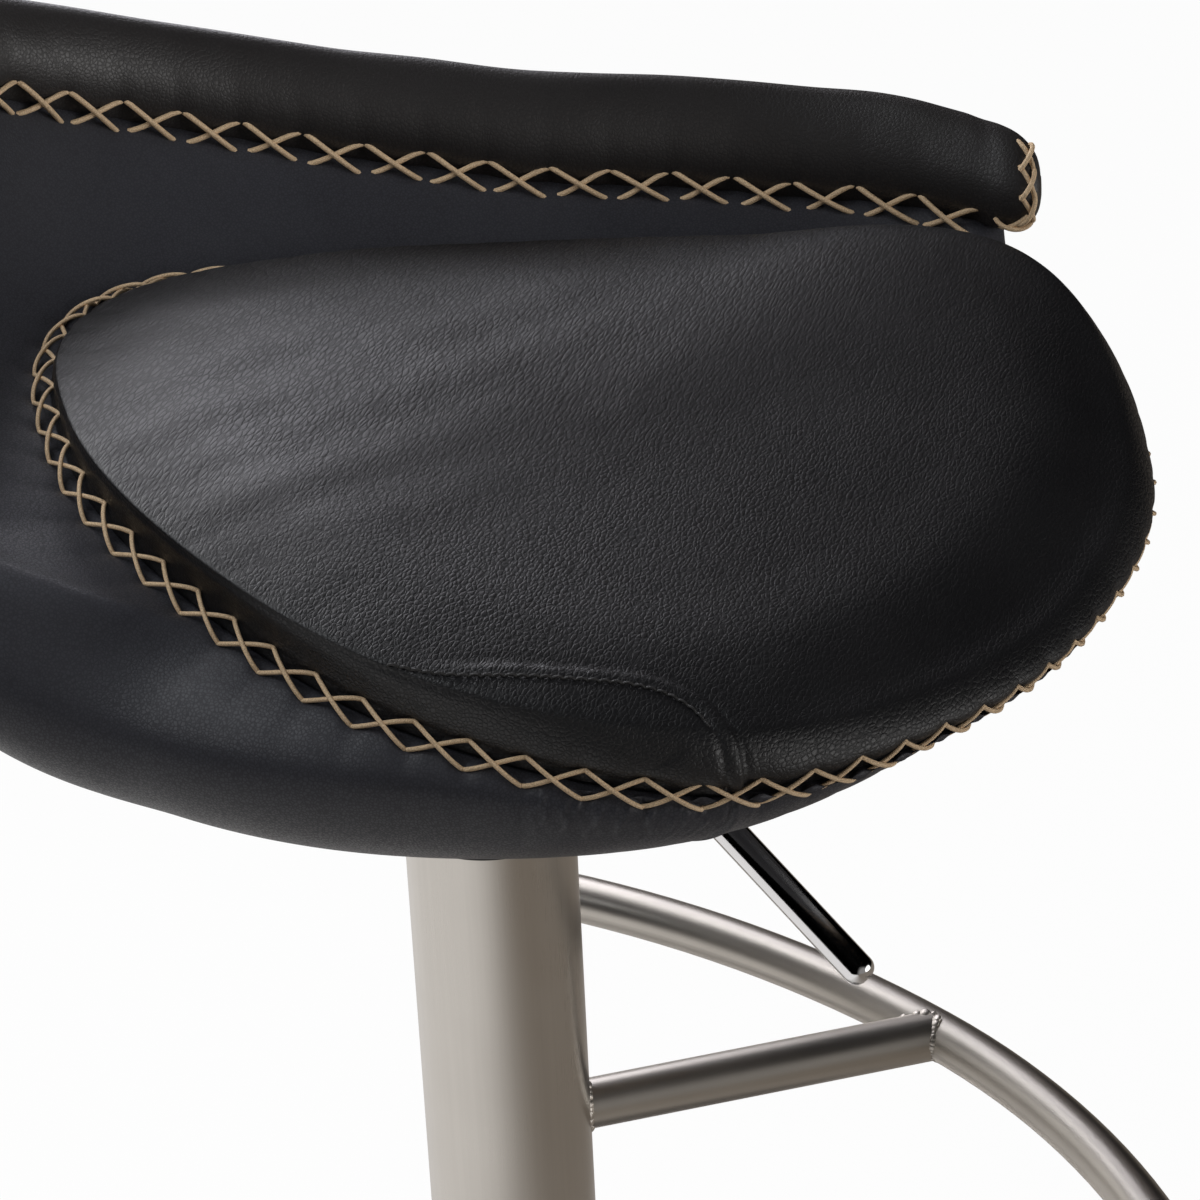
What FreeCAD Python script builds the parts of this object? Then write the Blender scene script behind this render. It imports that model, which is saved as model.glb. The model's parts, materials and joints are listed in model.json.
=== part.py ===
"""Upholstered bar stool on a gas-lift column, in millimetres.

The frame has +Z up and its origin on the floor under the column's axis. The sitter
faces -Y, so -X is the sitter's right. The stool rests at its lowest setting.
"""
import FreeCAD
import Part
import os
from math import cos, pi, radians, sin

V = FreeCAD.Vector
UP = V(0, 0, 1)

# Base and column
floor_pad_thickness = 3.0
floor_pad_inset = 7.0
base_diameter = 450.0
base_thickness = 10.0
base_edge_round = 4.0
column_diameter = 65.0
column_wall = 2.0
column_length = 465.0
foot_height = 20.0

# Screws from below through the base plate into the column foot
foot_screw_count = 3
foot_screw_circle = 40.0
foot_screw_diameter = 8.0
foot_screw_head = 14.0
foot_screw_head_height = 5.0
foot_screw_length = 24.0

# Footrest: a straight stay to a bow of two tangent arcs, one tube size throughout
footrest_height = 335.0
footrest_tube = 20.0
footrest_wall = 2.0
stay_angle = -56.0
stay_length = 178.0
bow_heading = -118.5
bow_far_radius = 480.0
bow_far_length = 215.0
bow_near_radius = 330.0
bow_near_length = 215.0
cap_plug_depth = 10.0
cap_dome = 4.0
cap_round_share = 0.8
cap_plug_taper = 1.0

# Gas spring inside the column
stand_diameter = 50.0
stand_wall = 2.0
stand_recess = 4.0
stand_floor = 5.0
clip_room = 12.0
bearing_diameter = 24.0
bearing_washer = 2.0
bearing_cage_trim = 1.5
rod_diameter = 10.0
rod_shoulder = 16.0
rod_shoulder_height = 4.0
rod_end_gap = 3.0
clip_thickness = 1.2
clip_diameter = 16.0
clip_groove = 1.5
piston_height = 13.0
cylinder_diameter = 28.0
cylinder_wall = 1.5
cylinder_length = 350.0
cylinder_gland = 12.0
cylinder_head = 65.0
cone_length = 30.0
cone_end_diameter = 26.5
lift_stroke = 200.0
stroke_spare = 3.0
sleeve_length = 96.0
collar_depth = 38.0
collar_flange = 5.0

# Seat mechanism: plate, hub, lever channel, lever and release pin
hub_gap = 7.0
hub_diameter = 42.0
hub_height = 31.0
hub_lip = 1.0
plate_width = 130.0
plate_depth = 110.0
plate_thickness = 3.0
plate_corner = 12.0
plate_hole_x = 52.0
plate_hole_y = 42.0
pin_diameter = 8.0
pin_length = 42.0
pin_rise = 7.0
lever_angle = -108.5
lever_diameter = 12.0
lever_headroom = 14.0
lever_tail = 6.0
lever_pivot_reach = 32.0
lever_bend_reach = 80.0
lever_bend_radius = 30.0
lever_drop = 35.0
lever_handle_length = 112.0
lever_tip_share = 0.4
pivot_diameter = 6.0
pivot_overhang = 2.0
channel_gap = 22.0
channel_wall = 3.0
channel_front = 62.0
channel_back = 30.0
bolt_diameter = 8.0
bolt_head = 13.0
bolt_head_height = 5.5
bolt_length = 14.0
tee_barrel = 11.0
tee_barrel_length = 9.0
tee_flange = 22.0
tee_flange_thickness = 1.5
board_thickness = 14.0
board_radius = 96.0

# Upholstery: station values run every 30 degrees, anticlockwise from the sitter's left
ring_step = 10
section_step = 5.0
seat_centre_y = -50.0
rim_slope = 0.2
shell_depth = 84.0
rim_radii = (168, 158, 166, 197, 187, 177, 184, 189, 176, 180, 203, 222)
ledge_widths = (90, 71, 90, 95, 110, 60, 16, 6, 3, 2, 5, 24)
shell_fullness = (0.9, 0.86, 0.86, 0.86, 0.86, 0.86, 0.9, 1.15, 1.4, 1.3, 1.0, 0.95)
shell_levels = (0, 8, 18, 28, 39, 50, 61, 72, 82, 90)
shell_floor_radius = 108.0
shell_floor_y = -14.0
seat_crests = (15, 9, 8, 10, 24, 32, 30, 24, 17, 15, 24, 34)
seat_tops = (20, 15, 12, 14, 25, 33, 32, 28, 25, 24, 29, 33)
seat_bulge = 3.0
seat_bulge_rise = 0.4
seat_shoulder_inset = 3.0
seat_shoulder_rise = 0.8
seat_crest_inset = 14.0
seat_top_inset = 42.0
seat_middle = 0.45
seat_crown = 25.0
pad_rings_per_level = 2

# The back: angle round the seat, radius of its inner seam, and that seam's height over
# the rim where the rim crosses the column's axis
back_stations = (
    (-19.3, 237.6, -9.8), (-14.5, 232, -8), (-9.5, 226, -5.5), (-3.5, 218, -4), (3.5, 210, -0.5),
    (10.5, 202, 4), (19, 194, 9), (27, 191.5, 14), (35, 194, 21), (46, 203, 31), (60, 222, 50),
    (71, 238, 70), (81, 249, 91), (95, 261, 111), (110, 264, 102), (120, 262, 80), (128, 257, 52),
)
back_foot_inset = 2.0
back_hollow_share = 0.42
back_swell_share = 0.14
roll_depth = 36.0
roll_height = 44.0
roll_overhang = 4.0
roll_side_bow = 6.4
roll_side_share = 0.84
roll_top_in = 0.55
roll_top_out = 0.62
roll_end_rise = 0.35
roll_taper = 0.06
roll_depth_taper = 0.2
roll_taper_from = -4.0
roll_taper_to = -20.0
roll_tip_stations = (
    (-22.3, 241.2, -11.6, 0.6), (-22.15, 241, -11.5, 0.74), (-21.8, 240.5, -11.2, 0.87), (-21.2, 239.8, -10.8, 0.96),
    (-20.4, 238.8, -10.3, 0.99),
)
roll_tail_stations = (
    (133, 252, 37, 0.92), (137, 248, 31, 0.74), (139.5, 246, 29, 0.5), (140.5, 245, 28, 0.25),
)

# Clearances
slide_clearance = 0.05
plug_clearance = 0.05
soft_clearance = 0.3
hole_clearance = 0.5
contact_gap = 0.3

# Levels, worked out from the floor up
base_top = floor_pad_thickness + base_thickness
column_top = base_top + column_length
foot_top = base_top + foot_height
stand_top = column_top - stand_recess
stand_floor_top = foot_top + clip_room + stand_floor
rod_seat = stand_floor_top + 3 * bearing_washer
hub_bottom = column_top + collar_flange + hub_gap
hub_top = hub_bottom + hub_height
cylinder_top = hub_top - hub_lip
cylinder_bottom = cylinder_top - cylinder_length
piston_bottom = cylinder_bottom + cylinder_gland + lift_stroke + stroke_spare
lever_height = cylinder_top + pin_rise + lever_diameter / 2
pin_top = lever_height - lever_diameter / 2 - contact_gap
plate_bottom = lever_height + lever_diameter / 2 + lever_headroom
shell_bottom = plate_bottom + plate_thickness
rim_height = shell_bottom + shell_depth


def cylinder(radius, low, high, x=0.0, y=0.0):
    """Upright cylinder between two heights."""
    return Part.makeCylinder(radius, high - low, V(x, y, low))


def ring(outer, inner, low, high):
    """Upright ring about the column's axis."""
    return cylinder(outer, low, high).cut(cylinder(inner, low, high))


def polar(radius, angle, height=0.0, y=0.0):
    """Point at a radius and an angle in degrees, round an axis at (0, y)."""
    return V(radius * cos(radians(angle)), y + radius * sin(radians(angle)), height)


def circle_places(count, diameter):
    """Places evenly spaced on a circle about the column's axis."""
    return [polar(diameter / 2, 360 * index / count) for index in range(count)]


def plate_places():
    """The four bolt places of the seat plate."""
    return [V(x, y, 0) for x in (-plate_hole_x, plate_hole_x) for y in (-plate_hole_y, plate_hole_y)]


def rim_level(y):
    """Height of the sloping rim plane at a depth y."""
    return rim_height + rim_slope * y


# Base and column
def make_floor_pad():
    return cylinder(base_diameter / 2 - floor_pad_inset, 0, floor_pad_thickness)


def make_base_plate():
    plate = cylinder(base_diameter / 2, floor_pad_thickness, base_top)
    rim = [edge for edge in plate.Edges if edge.Closed and abs(edge.CenterOfMass.z - base_top) < 0.01]
    plate = plate.makeFillet(base_edge_round, rim)
    head_top = floor_pad_thickness + contact_gap + foot_screw_head_height
    for place in circle_places(foot_screw_count, foot_screw_circle):
        plate = plate.cut(cylinder((foot_screw_diameter + hole_clearance) / 2, 0, base_top, place.x, place.y))
        plate = plate.cut(cylinder((foot_screw_head + hole_clearance) / 2, 0, head_top, place.x, place.y))
    return plate


def make_foot_screws():
    head_low = floor_pad_thickness + contact_gap
    head_top = head_low + foot_screw_head_height
    screws = []
    for place in circle_places(foot_screw_count, foot_screw_circle):
        head = cylinder(foot_screw_head / 2, head_low, head_top, place.x, place.y)
        shank = cylinder(foot_screw_diameter / 2, head_top, head_low + foot_screw_length, place.x, place.y)
        screws.append(head.fuse(shank).removeSplitter())
    return Part.makeCompound(screws)


def make_column_foot():
    foot = cylinder(column_diameter / 2 - column_wall - plug_clearance, base_top, foot_top)
    for place in circle_places(foot_screw_count, foot_screw_circle):
        foot = foot.cut(cylinder(foot_screw_diameter / 2 + plug_clearance, 0, foot_top, place.x, place.y))
    return foot


def make_column_tube():
    return ring(column_diameter / 2, column_diameter / 2 - column_wall, base_top, column_top)


# Footrest
def bow_junction():
    """Where the stay's axis meets the bow's axis, with the bow's direction there."""
    return polar(stay_length, stay_angle, footrest_height), polar(1, bow_heading)


def bow_arc(radius, length, diameter):
    """One arc of the bow as a bar of a given diameter, starting at the junction.

    A positive length runs on along the bow's heading, and a negative one runs back.
    """
    junction, heading = bow_junction()
    inward = V(heading.y, -heading.x, 0)
    profile = Part.Face(Part.Wire(Part.Circle(junction, heading, diameter / 2).toShape()))
    return profile.revolve(junction + inward * radius, -UP, 180 / pi * length / radius)


def bow_end(radius, length):
    """End point of an arc of the bow, and the direction that leads out of it."""
    junction, heading = bow_junction()
    inward = V(heading.y, -heading.x, 0)
    centre = junction + inward * radius
    turn = FreeCAD.Rotation(-UP, 180 / pi * length / radius)
    outward = 1 if length > 0 else -1
    return centre + turn.multVec(junction - centre), turn.multVec(heading) * outward


def make_bow_bar(diameter):
    far = bow_arc(bow_far_radius, -bow_far_length, diameter)
    near = bow_arc(bow_near_radius, bow_near_length, diameter)
    return far.fuse(near).removeSplitter()


def make_footrest_bow():
    return make_bow_bar(footrest_tube).cut(make_bow_bar(footrest_tube - 2 * footrest_wall))


def make_footrest_stay():
    junction, _ = bow_junction()
    root = V(0, 0, footrest_height)
    bar = Part.makeCylinder(footrest_tube / 2, stay_length, root, junction - root)
    bore = Part.makeCylinder(footrest_tube / 2 - footrest_wall, stay_length, root, junction - root)
    column = cylinder(column_diameter / 2, base_top, column_top)
    return bar.cut(bore).cut(column).cut(make_bow_bar(footrest_tube))


def make_bow_caps():
    caps = []
    for radius, length in ((bow_far_radius, -bow_far_length), (bow_near_radius, bow_near_length)):
        end, outward = bow_end(radius, length)
        bore = footrest_tube / 2 - footrest_wall - plug_clearance
        plug = Part.makeCone(bore - cap_plug_taper, bore, cap_plug_depth, end - outward * cap_plug_depth, outward)
        head = Part.makeCylinder(footrest_tube / 2, cap_dome, end, outward)
        lip = [edge for edge in head.Edges if edge.Closed and (edge.CenterOfMass - end).Length > cap_dome / 2]
        head = head.makeFillet(cap_dome * cap_round_share, lip)
        caps.append(head.fuse(plug).removeSplitter())
    return Part.makeCompound(caps)


# Gas spring
def make_stand_tube():
    tube = ring(stand_diameter / 2, stand_diameter / 2 - stand_wall, foot_top, stand_top)
    floor = ring(stand_diameter / 2 - stand_wall, rod_diameter / 2 + slide_clearance,
                 stand_floor_top - stand_floor, stand_floor_top)
    return tube.fuse(floor).removeSplitter()


def make_top_collar():
    bore = stand_diameter / 2 + plug_clearance
    body = ring(column_diameter / 2 - column_wall - plug_clearance, bore, column_top - collar_depth, column_top)
    flange = ring(column_diameter / 2, bore, column_top, column_top + collar_flange)
    return body.fuse(flange).removeSplitter()


def make_guide_sleeve():
    bore = cylinder_diameter / 2 + slide_clearance
    body = ring(stand_diameter / 2 - stand_wall - plug_clearance, bore, stand_top - sleeve_length, stand_top)
    lip = ring(stand_diameter / 2, bore, stand_top, column_top)
    return body.fuse(lip).removeSplitter()


def make_thrust_bearing():
    layers = []
    for index in range(3):
        low = stand_floor_top + index * bearing_washer
        trim = bearing_cage_trim if index == 1 else 0.0
        layers.append(ring(bearing_diameter / 2 - trim, rod_diameter / 2 + slide_clearance,
                           low, low + bearing_washer))
    return Part.makeCompound(layers)


def make_piston_rod():
    rod = cylinder(rod_diameter / 2, foot_top + rod_end_gap, piston_bottom)
    rod = rod.fuse(cylinder(rod_shoulder / 2, rod_seat, rod_seat + rod_shoulder_height))
    piston = cylinder(cylinder_diameter / 2 - cylinder_wall - slide_clearance,
                      piston_bottom, piston_bottom + piston_height)
    groove_top = stand_floor_top - stand_floor - contact_gap
    groove = ring(rod_diameter, rod_diameter / 2 - clip_groove, groove_top - clip_thickness, groove_top)
    return rod.fuse(piston).cut(groove).removeSplitter()


def make_rod_clip():
    top = stand_floor_top - stand_floor - contact_gap
    clip = ring(clip_diameter / 2, rod_diameter / 2 - clip_groove, top - clip_thickness, top)
    mouth = rod_diameter - 2 * clip_groove
    return clip.cut(Part.makeBox(clip_diameter, mouth, clip_thickness, V(0, -mouth / 2, top - clip_thickness)))


def make_gas_cylinder():
    barrel = cylinder(cylinder_diameter / 2, cylinder_bottom, cylinder_top - cone_length)
    cone = Part.makeCone(cylinder_diameter / 2, cone_end_diameter / 2, cone_length,
                         V(0, 0, cylinder_top - cone_length))
    bore = cylinder(cylinder_diameter / 2 - cylinder_wall, cylinder_bottom + cylinder_gland,
                    cylinder_top - cylinder_head)
    gland = cylinder(rod_diameter / 2 + slide_clearance, cylinder_bottom, cylinder_bottom + cylinder_gland)
    pin_bore = cylinder(pin_diameter / 2 + slide_clearance, pin_top - pin_length - 2 * pin_rise, cylinder_top)
    return barrel.fuse(cone).cut(bore).cut(gland).cut(pin_bore).removeSplitter()


def make_release_pin():
    pin = cylinder(pin_diameter / 2, pin_top - pin_length, pin_top)
    crown = [edge for edge in pin.Edges if edge.Closed and abs(edge.CenterOfMass.z - pin_top) < 0.01]
    return pin.makeFillet(pin_diameter / 8, crown)


# Seat mechanism
def along_lever(shape):
    """Turn a shape drawn along +X to the lever's direction."""
    return shape.rotated(V(0, 0, 0), UP, lever_angle)


def channel_box(low, high, half_width):
    """Block along the lever channel, drawn along +X."""
    return Part.makeBox(channel_front + channel_back, 2 * half_width, high - low,
                        V(-channel_back, -half_width, low))


def pivot_bar(diameter):
    """Round bar across the channel at the lever's pivot, drawn along +X."""
    half = channel_gap / 2 + channel_wall + pivot_overhang
    return Part.makeCylinder(diameter / 2, 2 * half, V(lever_pivot_reach, -half, lever_height), V(0, 1, 0))


def make_mechanism_plate():
    plate = Part.makeBox(plate_width, plate_depth, plate_thickness,
                         V(-plate_width / 2, -plate_depth / 2, plate_bottom))
    corners = [edge for edge in plate.Edges if abs(edge.Length - plate_thickness) < 0.01]
    plate = plate.makeFillet(plate_corner, corners)
    for place in plate_places():
        plate = plate.cut(cylinder((bolt_diameter + hole_clearance) / 2, plate_bottom, shell_bottom,
                                   place.x, place.y))
    half_gap = channel_gap / 2
    walls = channel_box(hub_top, plate_bottom, half_gap + channel_wall)
    walls = walls.cut(channel_box(hub_top, plate_bottom, half_gap))
    floor = channel_box(hub_top - channel_wall, hub_top, half_gap + channel_wall)
    channel = walls.fuse(floor).cut(pivot_bar(pivot_diameter + 2 * plug_clearance))
    hub = cylinder(hub_diameter / 2, hub_bottom, hub_top)
    body = plate.fuse(along_lever(channel)).fuse(hub).removeSplitter()
    cone_low = cylinder_top - cone_length
    socket = Part.makeCone(cylinder_diameter / 2, cone_end_diameter / 2, cone_length, V(0, 0, cone_low))
    socket = socket.fuse(cylinder(cylinder_diameter / 2, hub_bottom, cone_low))
    opening = cylinder(cone_end_diameter / 2, cylinder_top, hub_top)
    return body.cut(socket).cut(opening).removeSplitter()


def make_lever_pin():
    return along_lever(pivot_bar(pivot_diameter))


def make_lever_rod():
    """Round rod, level in the channel, then bent down to a handle with a rounded end."""
    drop = radians(lever_drop)
    trim = lever_bend_radius * sin(drop / 2) / cos(drop / 2)
    start = V(-lever_tail, 0, lever_height)
    corner = V(lever_bend_reach, 0, lever_height)
    down = V(cos(drop), 0, -sin(drop))
    bend_in = corner - V(trim, 0, 0)
    level = Part.makeCylinder(lever_diameter / 2, bend_in.x - start.x, start, V(1, 0, 0))
    profile = Part.Face(Part.Wire(Part.Circle(bend_in, V(1, 0, 0), lever_diameter / 2).toShape()))
    bend = profile.revolve(bend_in - UP * lever_bend_radius, V(0, 1, 0), lever_drop)
    bend_out = corner + down * trim
    handle = Part.makeCylinder(lever_diameter / 2, lever_handle_length - trim, bend_out, down)
    tip = [edge for edge in handle.Edges
           if edge.Closed and (edge.CenterOfMass - bend_out).Length > lever_handle_length / 2]
    handle = handle.makeFillet(lever_diameter * lever_tip_share, tip)
    rod = level.fuse(bend).fuse(handle).removeSplitter()
    return along_lever(rod.cut(pivot_bar(pivot_diameter + 2 * slide_clearance)))


def make_seat_board():
    board = cylinder(board_radius, shell_bottom, shell_bottom + board_thickness, 0, shell_floor_y)
    for place in plate_places():
        board = board.cut(cylinder(tee_barrel / 2 + plug_clearance, shell_bottom,
                                   shell_bottom + board_thickness, place.x, place.y))
    return board


def make_tee_nuts():
    board_top = shell_bottom + board_thickness
    nuts = []
    for place in plate_places():
        barrel = cylinder(tee_barrel / 2, board_top - tee_barrel_length, board_top, place.x, place.y)
        flange = cylinder(tee_flange / 2, board_top, board_top + tee_flange_thickness, place.x, place.y)
        bore = cylinder(bolt_diameter / 2 + plug_clearance, shell_bottom,
                        board_top + tee_flange_thickness, place.x, place.y)
        nuts.append(barrel.fuse(flange).cut(bore).removeSplitter())
    return Part.makeCompound(nuts)


def make_seat_bolts():
    bolts = []
    for place in plate_places():
        head = cylinder(bolt_head / 2, plate_bottom - bolt_head_height, plate_bottom, place.x, place.y)
        shank = cylinder(bolt_diameter / 2, plate_bottom, plate_bottom + bolt_length, place.x, place.y)
        bolts.append(head.fuse(shank).removeSplitter())
    return Part.makeCompound(bolts)


# Upholstery
def eased(places, values, place):
    """Value at a place on a smooth curve through values that stand at rising places."""
    last = len(places) - 1
    index = max(i for i in range(last) if i == 0 or places[i] <= place)

    def slope(i):
        low, high = max(i - 1, 0), min(i + 1, last)
        return (values[high] - values[low]) / (places[high] - places[low])

    span = places[index + 1] - places[index]
    t = (place - places[index]) / span
    start, end = values[index], values[index + 1]
    return (start * (1 + 2 * t) * (1 - t) ** 2 + end * t * t * (3 - 2 * t)
            + span * (slope(index) * t * (1 - t) ** 2 - slope(index + 1) * t * t * (1 - t)))


def around(values, angle):
    """Value at an angle round the seat, from values at even stations."""
    count = len(values)
    step = 360 / count
    places = [step * index for index in range(-2, count + 3)]
    return eased(places, [values[index % count] for index in range(-2, count + 3)], angle % 360)


def closed_ring(points):
    """Smooth closed wire through points."""
    curve = Part.BSplineCurve()
    curve.interpolate(Points=points, PeriodicFlag=True)
    return Part.Wire(curve.toShape())


def ring_angles():
    """Angles of the points that each ring is drawn through."""
    return [ring_step * index for index in range(360 // ring_step)]


def rim_point(angle, radius, lift):
    """Point at a radius round the seat's centre, lifted from the sloping rim plane."""
    point = polar(radius, angle, y=seat_centre_y)
    return V(point.x, point.y, rim_level(point.y) + lift)


def smooth_solid(sections):
    """Closed solid through close sections, with its faces pointing outwards."""
    solid = Part.makeLoft(sections, True, True)
    if solid.Volume < 0:
        solid.reverse()
    return solid


def shell_ring(level):
    """One level of the outer shell, from 0 at the rim to 90 at its flat floor."""
    points = []
    for angle in ring_angles():
        fullness = around(shell_fullness, angle)
        outward = cos(radians(level)) ** fullness if level < 90 else 0.0
        down = sin(radians(level)) ** fullness
        top = rim_point(angle, around(rim_radii, angle) + around(ledge_widths, angle), 0)
        floor = polar(shell_floor_radius, angle, shell_bottom, shell_floor_y)
        points.append(V(floor.x + (top.x - floor.x) * outward, floor.y + (top.y - floor.y) * outward,
                        top.z + (floor.z - top.z) * down))
    return closed_ring(points)


def make_outer_shell():
    """Padded bowl with a flat sloping top, and a pocket in its floor for the seat board."""
    shell = smooth_solid([shell_ring(level) for level in shell_levels])
    board_top = shell_bottom + board_thickness + soft_clearance
    shell = shell.cut(cylinder(board_radius + soft_clearance, shell_bottom, board_top, 0, shell_floor_y))
    for place in plate_places():
        shell = shell.cut(cylinder(tee_flange / 2 + soft_clearance, shell_bottom,
                                   board_top + tee_flange_thickness, place.x, place.y))
    return shell


def pad_ring(level):
    """One level of the seat cushion: 0 is its seam, 3 its edge, 4 the top inside it."""
    points = []
    for angle in ring_angles():
        rim, crest, top = (around(values, angle) for values in (rim_radii, seat_crests, seat_tops))
        radii = (rim, rim + seat_bulge, rim - seat_shoulder_inset, rim - seat_crest_inset,
                 rim - seat_top_inset, rim * seat_middle, 0)
        lifts = (soft_clearance, crest * seat_bulge_rise, crest * seat_shoulder_rise, crest,
                 top, (top + seat_crown) / 2, seat_crown)
        places = range(len(radii))
        points.append(rim_point(angle, eased(places, radii, level), eased(places, lifts, level)))
    return closed_ring(points)


def make_seat_pad():
    """Seat cushion: drawn in at its seam, a firm edge, then a gently dished top."""
    rings = [pad_ring(step / pad_rings_per_level) for step in range(6 * pad_rings_per_level)]
    crown = rim_point(0, 0, seat_crown)
    return smooth_solid(rings + [Part.Vertex(crown)])


def section_point(angle, radius, height):
    """Point of a section that stands upright along a ray from the seat's centre."""
    return polar(radius, angle, height, seat_centre_y)


def bowed_edge(start, end, bow):
    """Even curve between two points, bowed by a vector at its middle."""
    curve = Part.BezierCurve()
    curve.setPoles([start, (start + end) * 0.5 + bow * 2, end])
    return curve.toShape()


def straight_edge(start, end):
    """Straight edge between two points."""
    return Part.LineSegment(start, end).toShape()


def section_stations(stations):
    """Stations at even small angles on smooth curves through the given ones."""
    angles, *columns = zip(*stations)
    count = round((angles[-1] - angles[0]) / section_step)
    steps = [angles[0] + (angles[-1] - angles[0]) * index / count for index in range(count + 1)]
    return [(angle, *(eased(angles, column, angle) for column in columns)) for angle in steps]


def roll_size_at(angle):
    """Height and depth of the rolled top, which tapers towards its tip."""
    share = min(1.0, max(0.0, (roll_taper_from - angle) / (roll_taper_from - roll_taper_to)))
    tapered = share * share * (3 - 2 * share)
    return roll_height * (1 - roll_taper * tapered), roll_depth * (1 - roll_depth_taper * tapered)


def back_section(angle, radius, lift):
    """Section of the back's body: flat foot on the rim ledge, hollow face, swelled outside."""
    out = polar(1, angle)
    depth = roll_size_at(angle)[1]
    seam = section_point(angle, radius + roll_overhang, rim_height + lift)
    outer = section_point(angle, radius + depth - roll_overhang, rim_height + lift)
    rim = around(rim_radii, angle)
    foot_in = rim_point(angle, rim + seat_bulge + back_foot_inset, soft_clearance)
    foot_out = rim_point(angle, radius + depth - 2 * roll_overhang, soft_clearance)
    swell = out * (outer.z - foot_out.z) * back_swell_share
    middle = (seam + foot_in) * 0.5
    hollow = UP * (rim_level(middle.y) - middle.z) * back_hollow_share
    return Part.Wire([straight_edge(foot_in, foot_out), bowed_edge(foot_out, outer, swell),
                      straight_edge(outer, seam), bowed_edge(seam, foot_in, hollow)])


def make_back_body():
    return smooth_solid([back_section(*station) for station in section_stations(back_stations)])


def roll_section(angle, radius, lift, scale):
    """Section of the rolled top: flat underneath, bowed inside, outside and above."""
    out = polar(1, angle)
    height, depth = roll_size_at(angle)
    low = rim_height + lift + soft_clearance + height * (1 - scale) * roll_end_rise
    high = low + height * scale * roll_side_share
    middle = radius + depth / 2
    half = depth / 2 * scale
    inset = roll_overhang * scale
    foot_in = section_point(angle, middle - half + inset, low)
    foot_out = section_point(angle, middle + half - inset, low)
    top_in = section_point(angle, middle - half * roll_top_in, high)
    top_out = section_point(angle, middle + half * roll_top_out, high)
    side = out * roll_side_bow * scale
    crown = UP * height * (1 - roll_side_share) * scale
    return Part.Wire([straight_edge(foot_in, foot_out), bowed_edge(foot_out, top_out, side),
                      bowed_edge(top_out, top_in, crown),
                      bowed_edge(top_in, foot_in, -side)])


def make_back_roll():
    run = [(*station, 1.0) for station in section_stations(back_stations)]
    return smooth_solid([roll_section(*station) for station in (*roll_tip_stations, *run, *roll_tail_stations)])


NODES = {
    "floor_pad": make_floor_pad,
    "base_plate": make_base_plate,
    "foot_screws": make_foot_screws,
    "column_foot": make_column_foot,
    "column_tube": make_column_tube,
    "footrest_bow": make_footrest_bow,
    "footrest_stay": make_footrest_stay,
    "bow_end_caps": make_bow_caps,
    "stand_tube": make_stand_tube,
    "top_collar": make_top_collar,
    "guide_sleeve": make_guide_sleeve,
    "thrust_bearing": make_thrust_bearing,
    "piston_rod": make_piston_rod,
    "rod_clip": make_rod_clip,
    "gas_cylinder": make_gas_cylinder,
    "release_pin": make_release_pin,
    "mechanism_plate": make_mechanism_plate,
    "lever_pin": make_lever_pin,
    "lever_rod": make_lever_rod,
    "seat_board": make_seat_board,
    "tee_nuts": make_tee_nuts,
    "seat_bolts": make_seat_bolts,
    "outer_shell": make_outer_shell,
    "seat_pad": make_seat_pad,
    "back_body": make_back_body,
    "back_roll": make_back_roll,
}


def main():
    os.makedirs("parts", exist_ok=True)
    for name, make in NODES.items():
        shape = make()
        shape.exportStep(f"parts/{name}.step")
        print(f"{name}: {len(shape.Solids)} solid(s), {shape.Volume / 1000:.1f} cm3, valid {shape.isValid()}")


main()
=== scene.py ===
"""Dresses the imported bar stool: leather upholstery, cross-stitching, steel finishes, studio.

Sizes in the classes are millimetres and degrees in the CAD's own frame; meshes are written in
metres. Angles go anticlockwise about the seat's centre: 0 is the sitter's left, 90 the rear.
"""

import json
import logging
import math
from dataclasses import dataclass, field, replace
from enum import Enum
from typing import Any, Mapping, Optional, Sequence, Union

import bpy
import numpy as np
from mathutils import Matrix, Vector


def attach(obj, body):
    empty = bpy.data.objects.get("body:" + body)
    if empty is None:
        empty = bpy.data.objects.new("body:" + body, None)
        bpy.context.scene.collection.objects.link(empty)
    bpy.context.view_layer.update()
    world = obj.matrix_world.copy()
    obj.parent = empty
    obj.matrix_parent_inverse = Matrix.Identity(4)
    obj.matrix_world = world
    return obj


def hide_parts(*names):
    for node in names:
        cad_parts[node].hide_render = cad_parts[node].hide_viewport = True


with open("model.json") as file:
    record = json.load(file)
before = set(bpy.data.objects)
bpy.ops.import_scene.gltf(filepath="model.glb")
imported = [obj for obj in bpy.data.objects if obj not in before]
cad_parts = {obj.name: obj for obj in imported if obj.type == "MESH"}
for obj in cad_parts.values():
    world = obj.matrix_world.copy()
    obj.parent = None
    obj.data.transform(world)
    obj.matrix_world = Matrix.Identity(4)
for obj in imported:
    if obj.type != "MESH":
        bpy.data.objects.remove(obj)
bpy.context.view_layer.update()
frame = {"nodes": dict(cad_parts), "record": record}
LOG = logging.getLogger("bar_stool")
MM = 0.001
UP = np.array([0.0, 0.0, 1.0])
Rows = np.ndarray
Colour = tuple[float, float, float]
COARSE_STEP, FINE_STEP = 0.6, 0.2


# ---------------------------------------------------------------- curves and meshes


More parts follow.
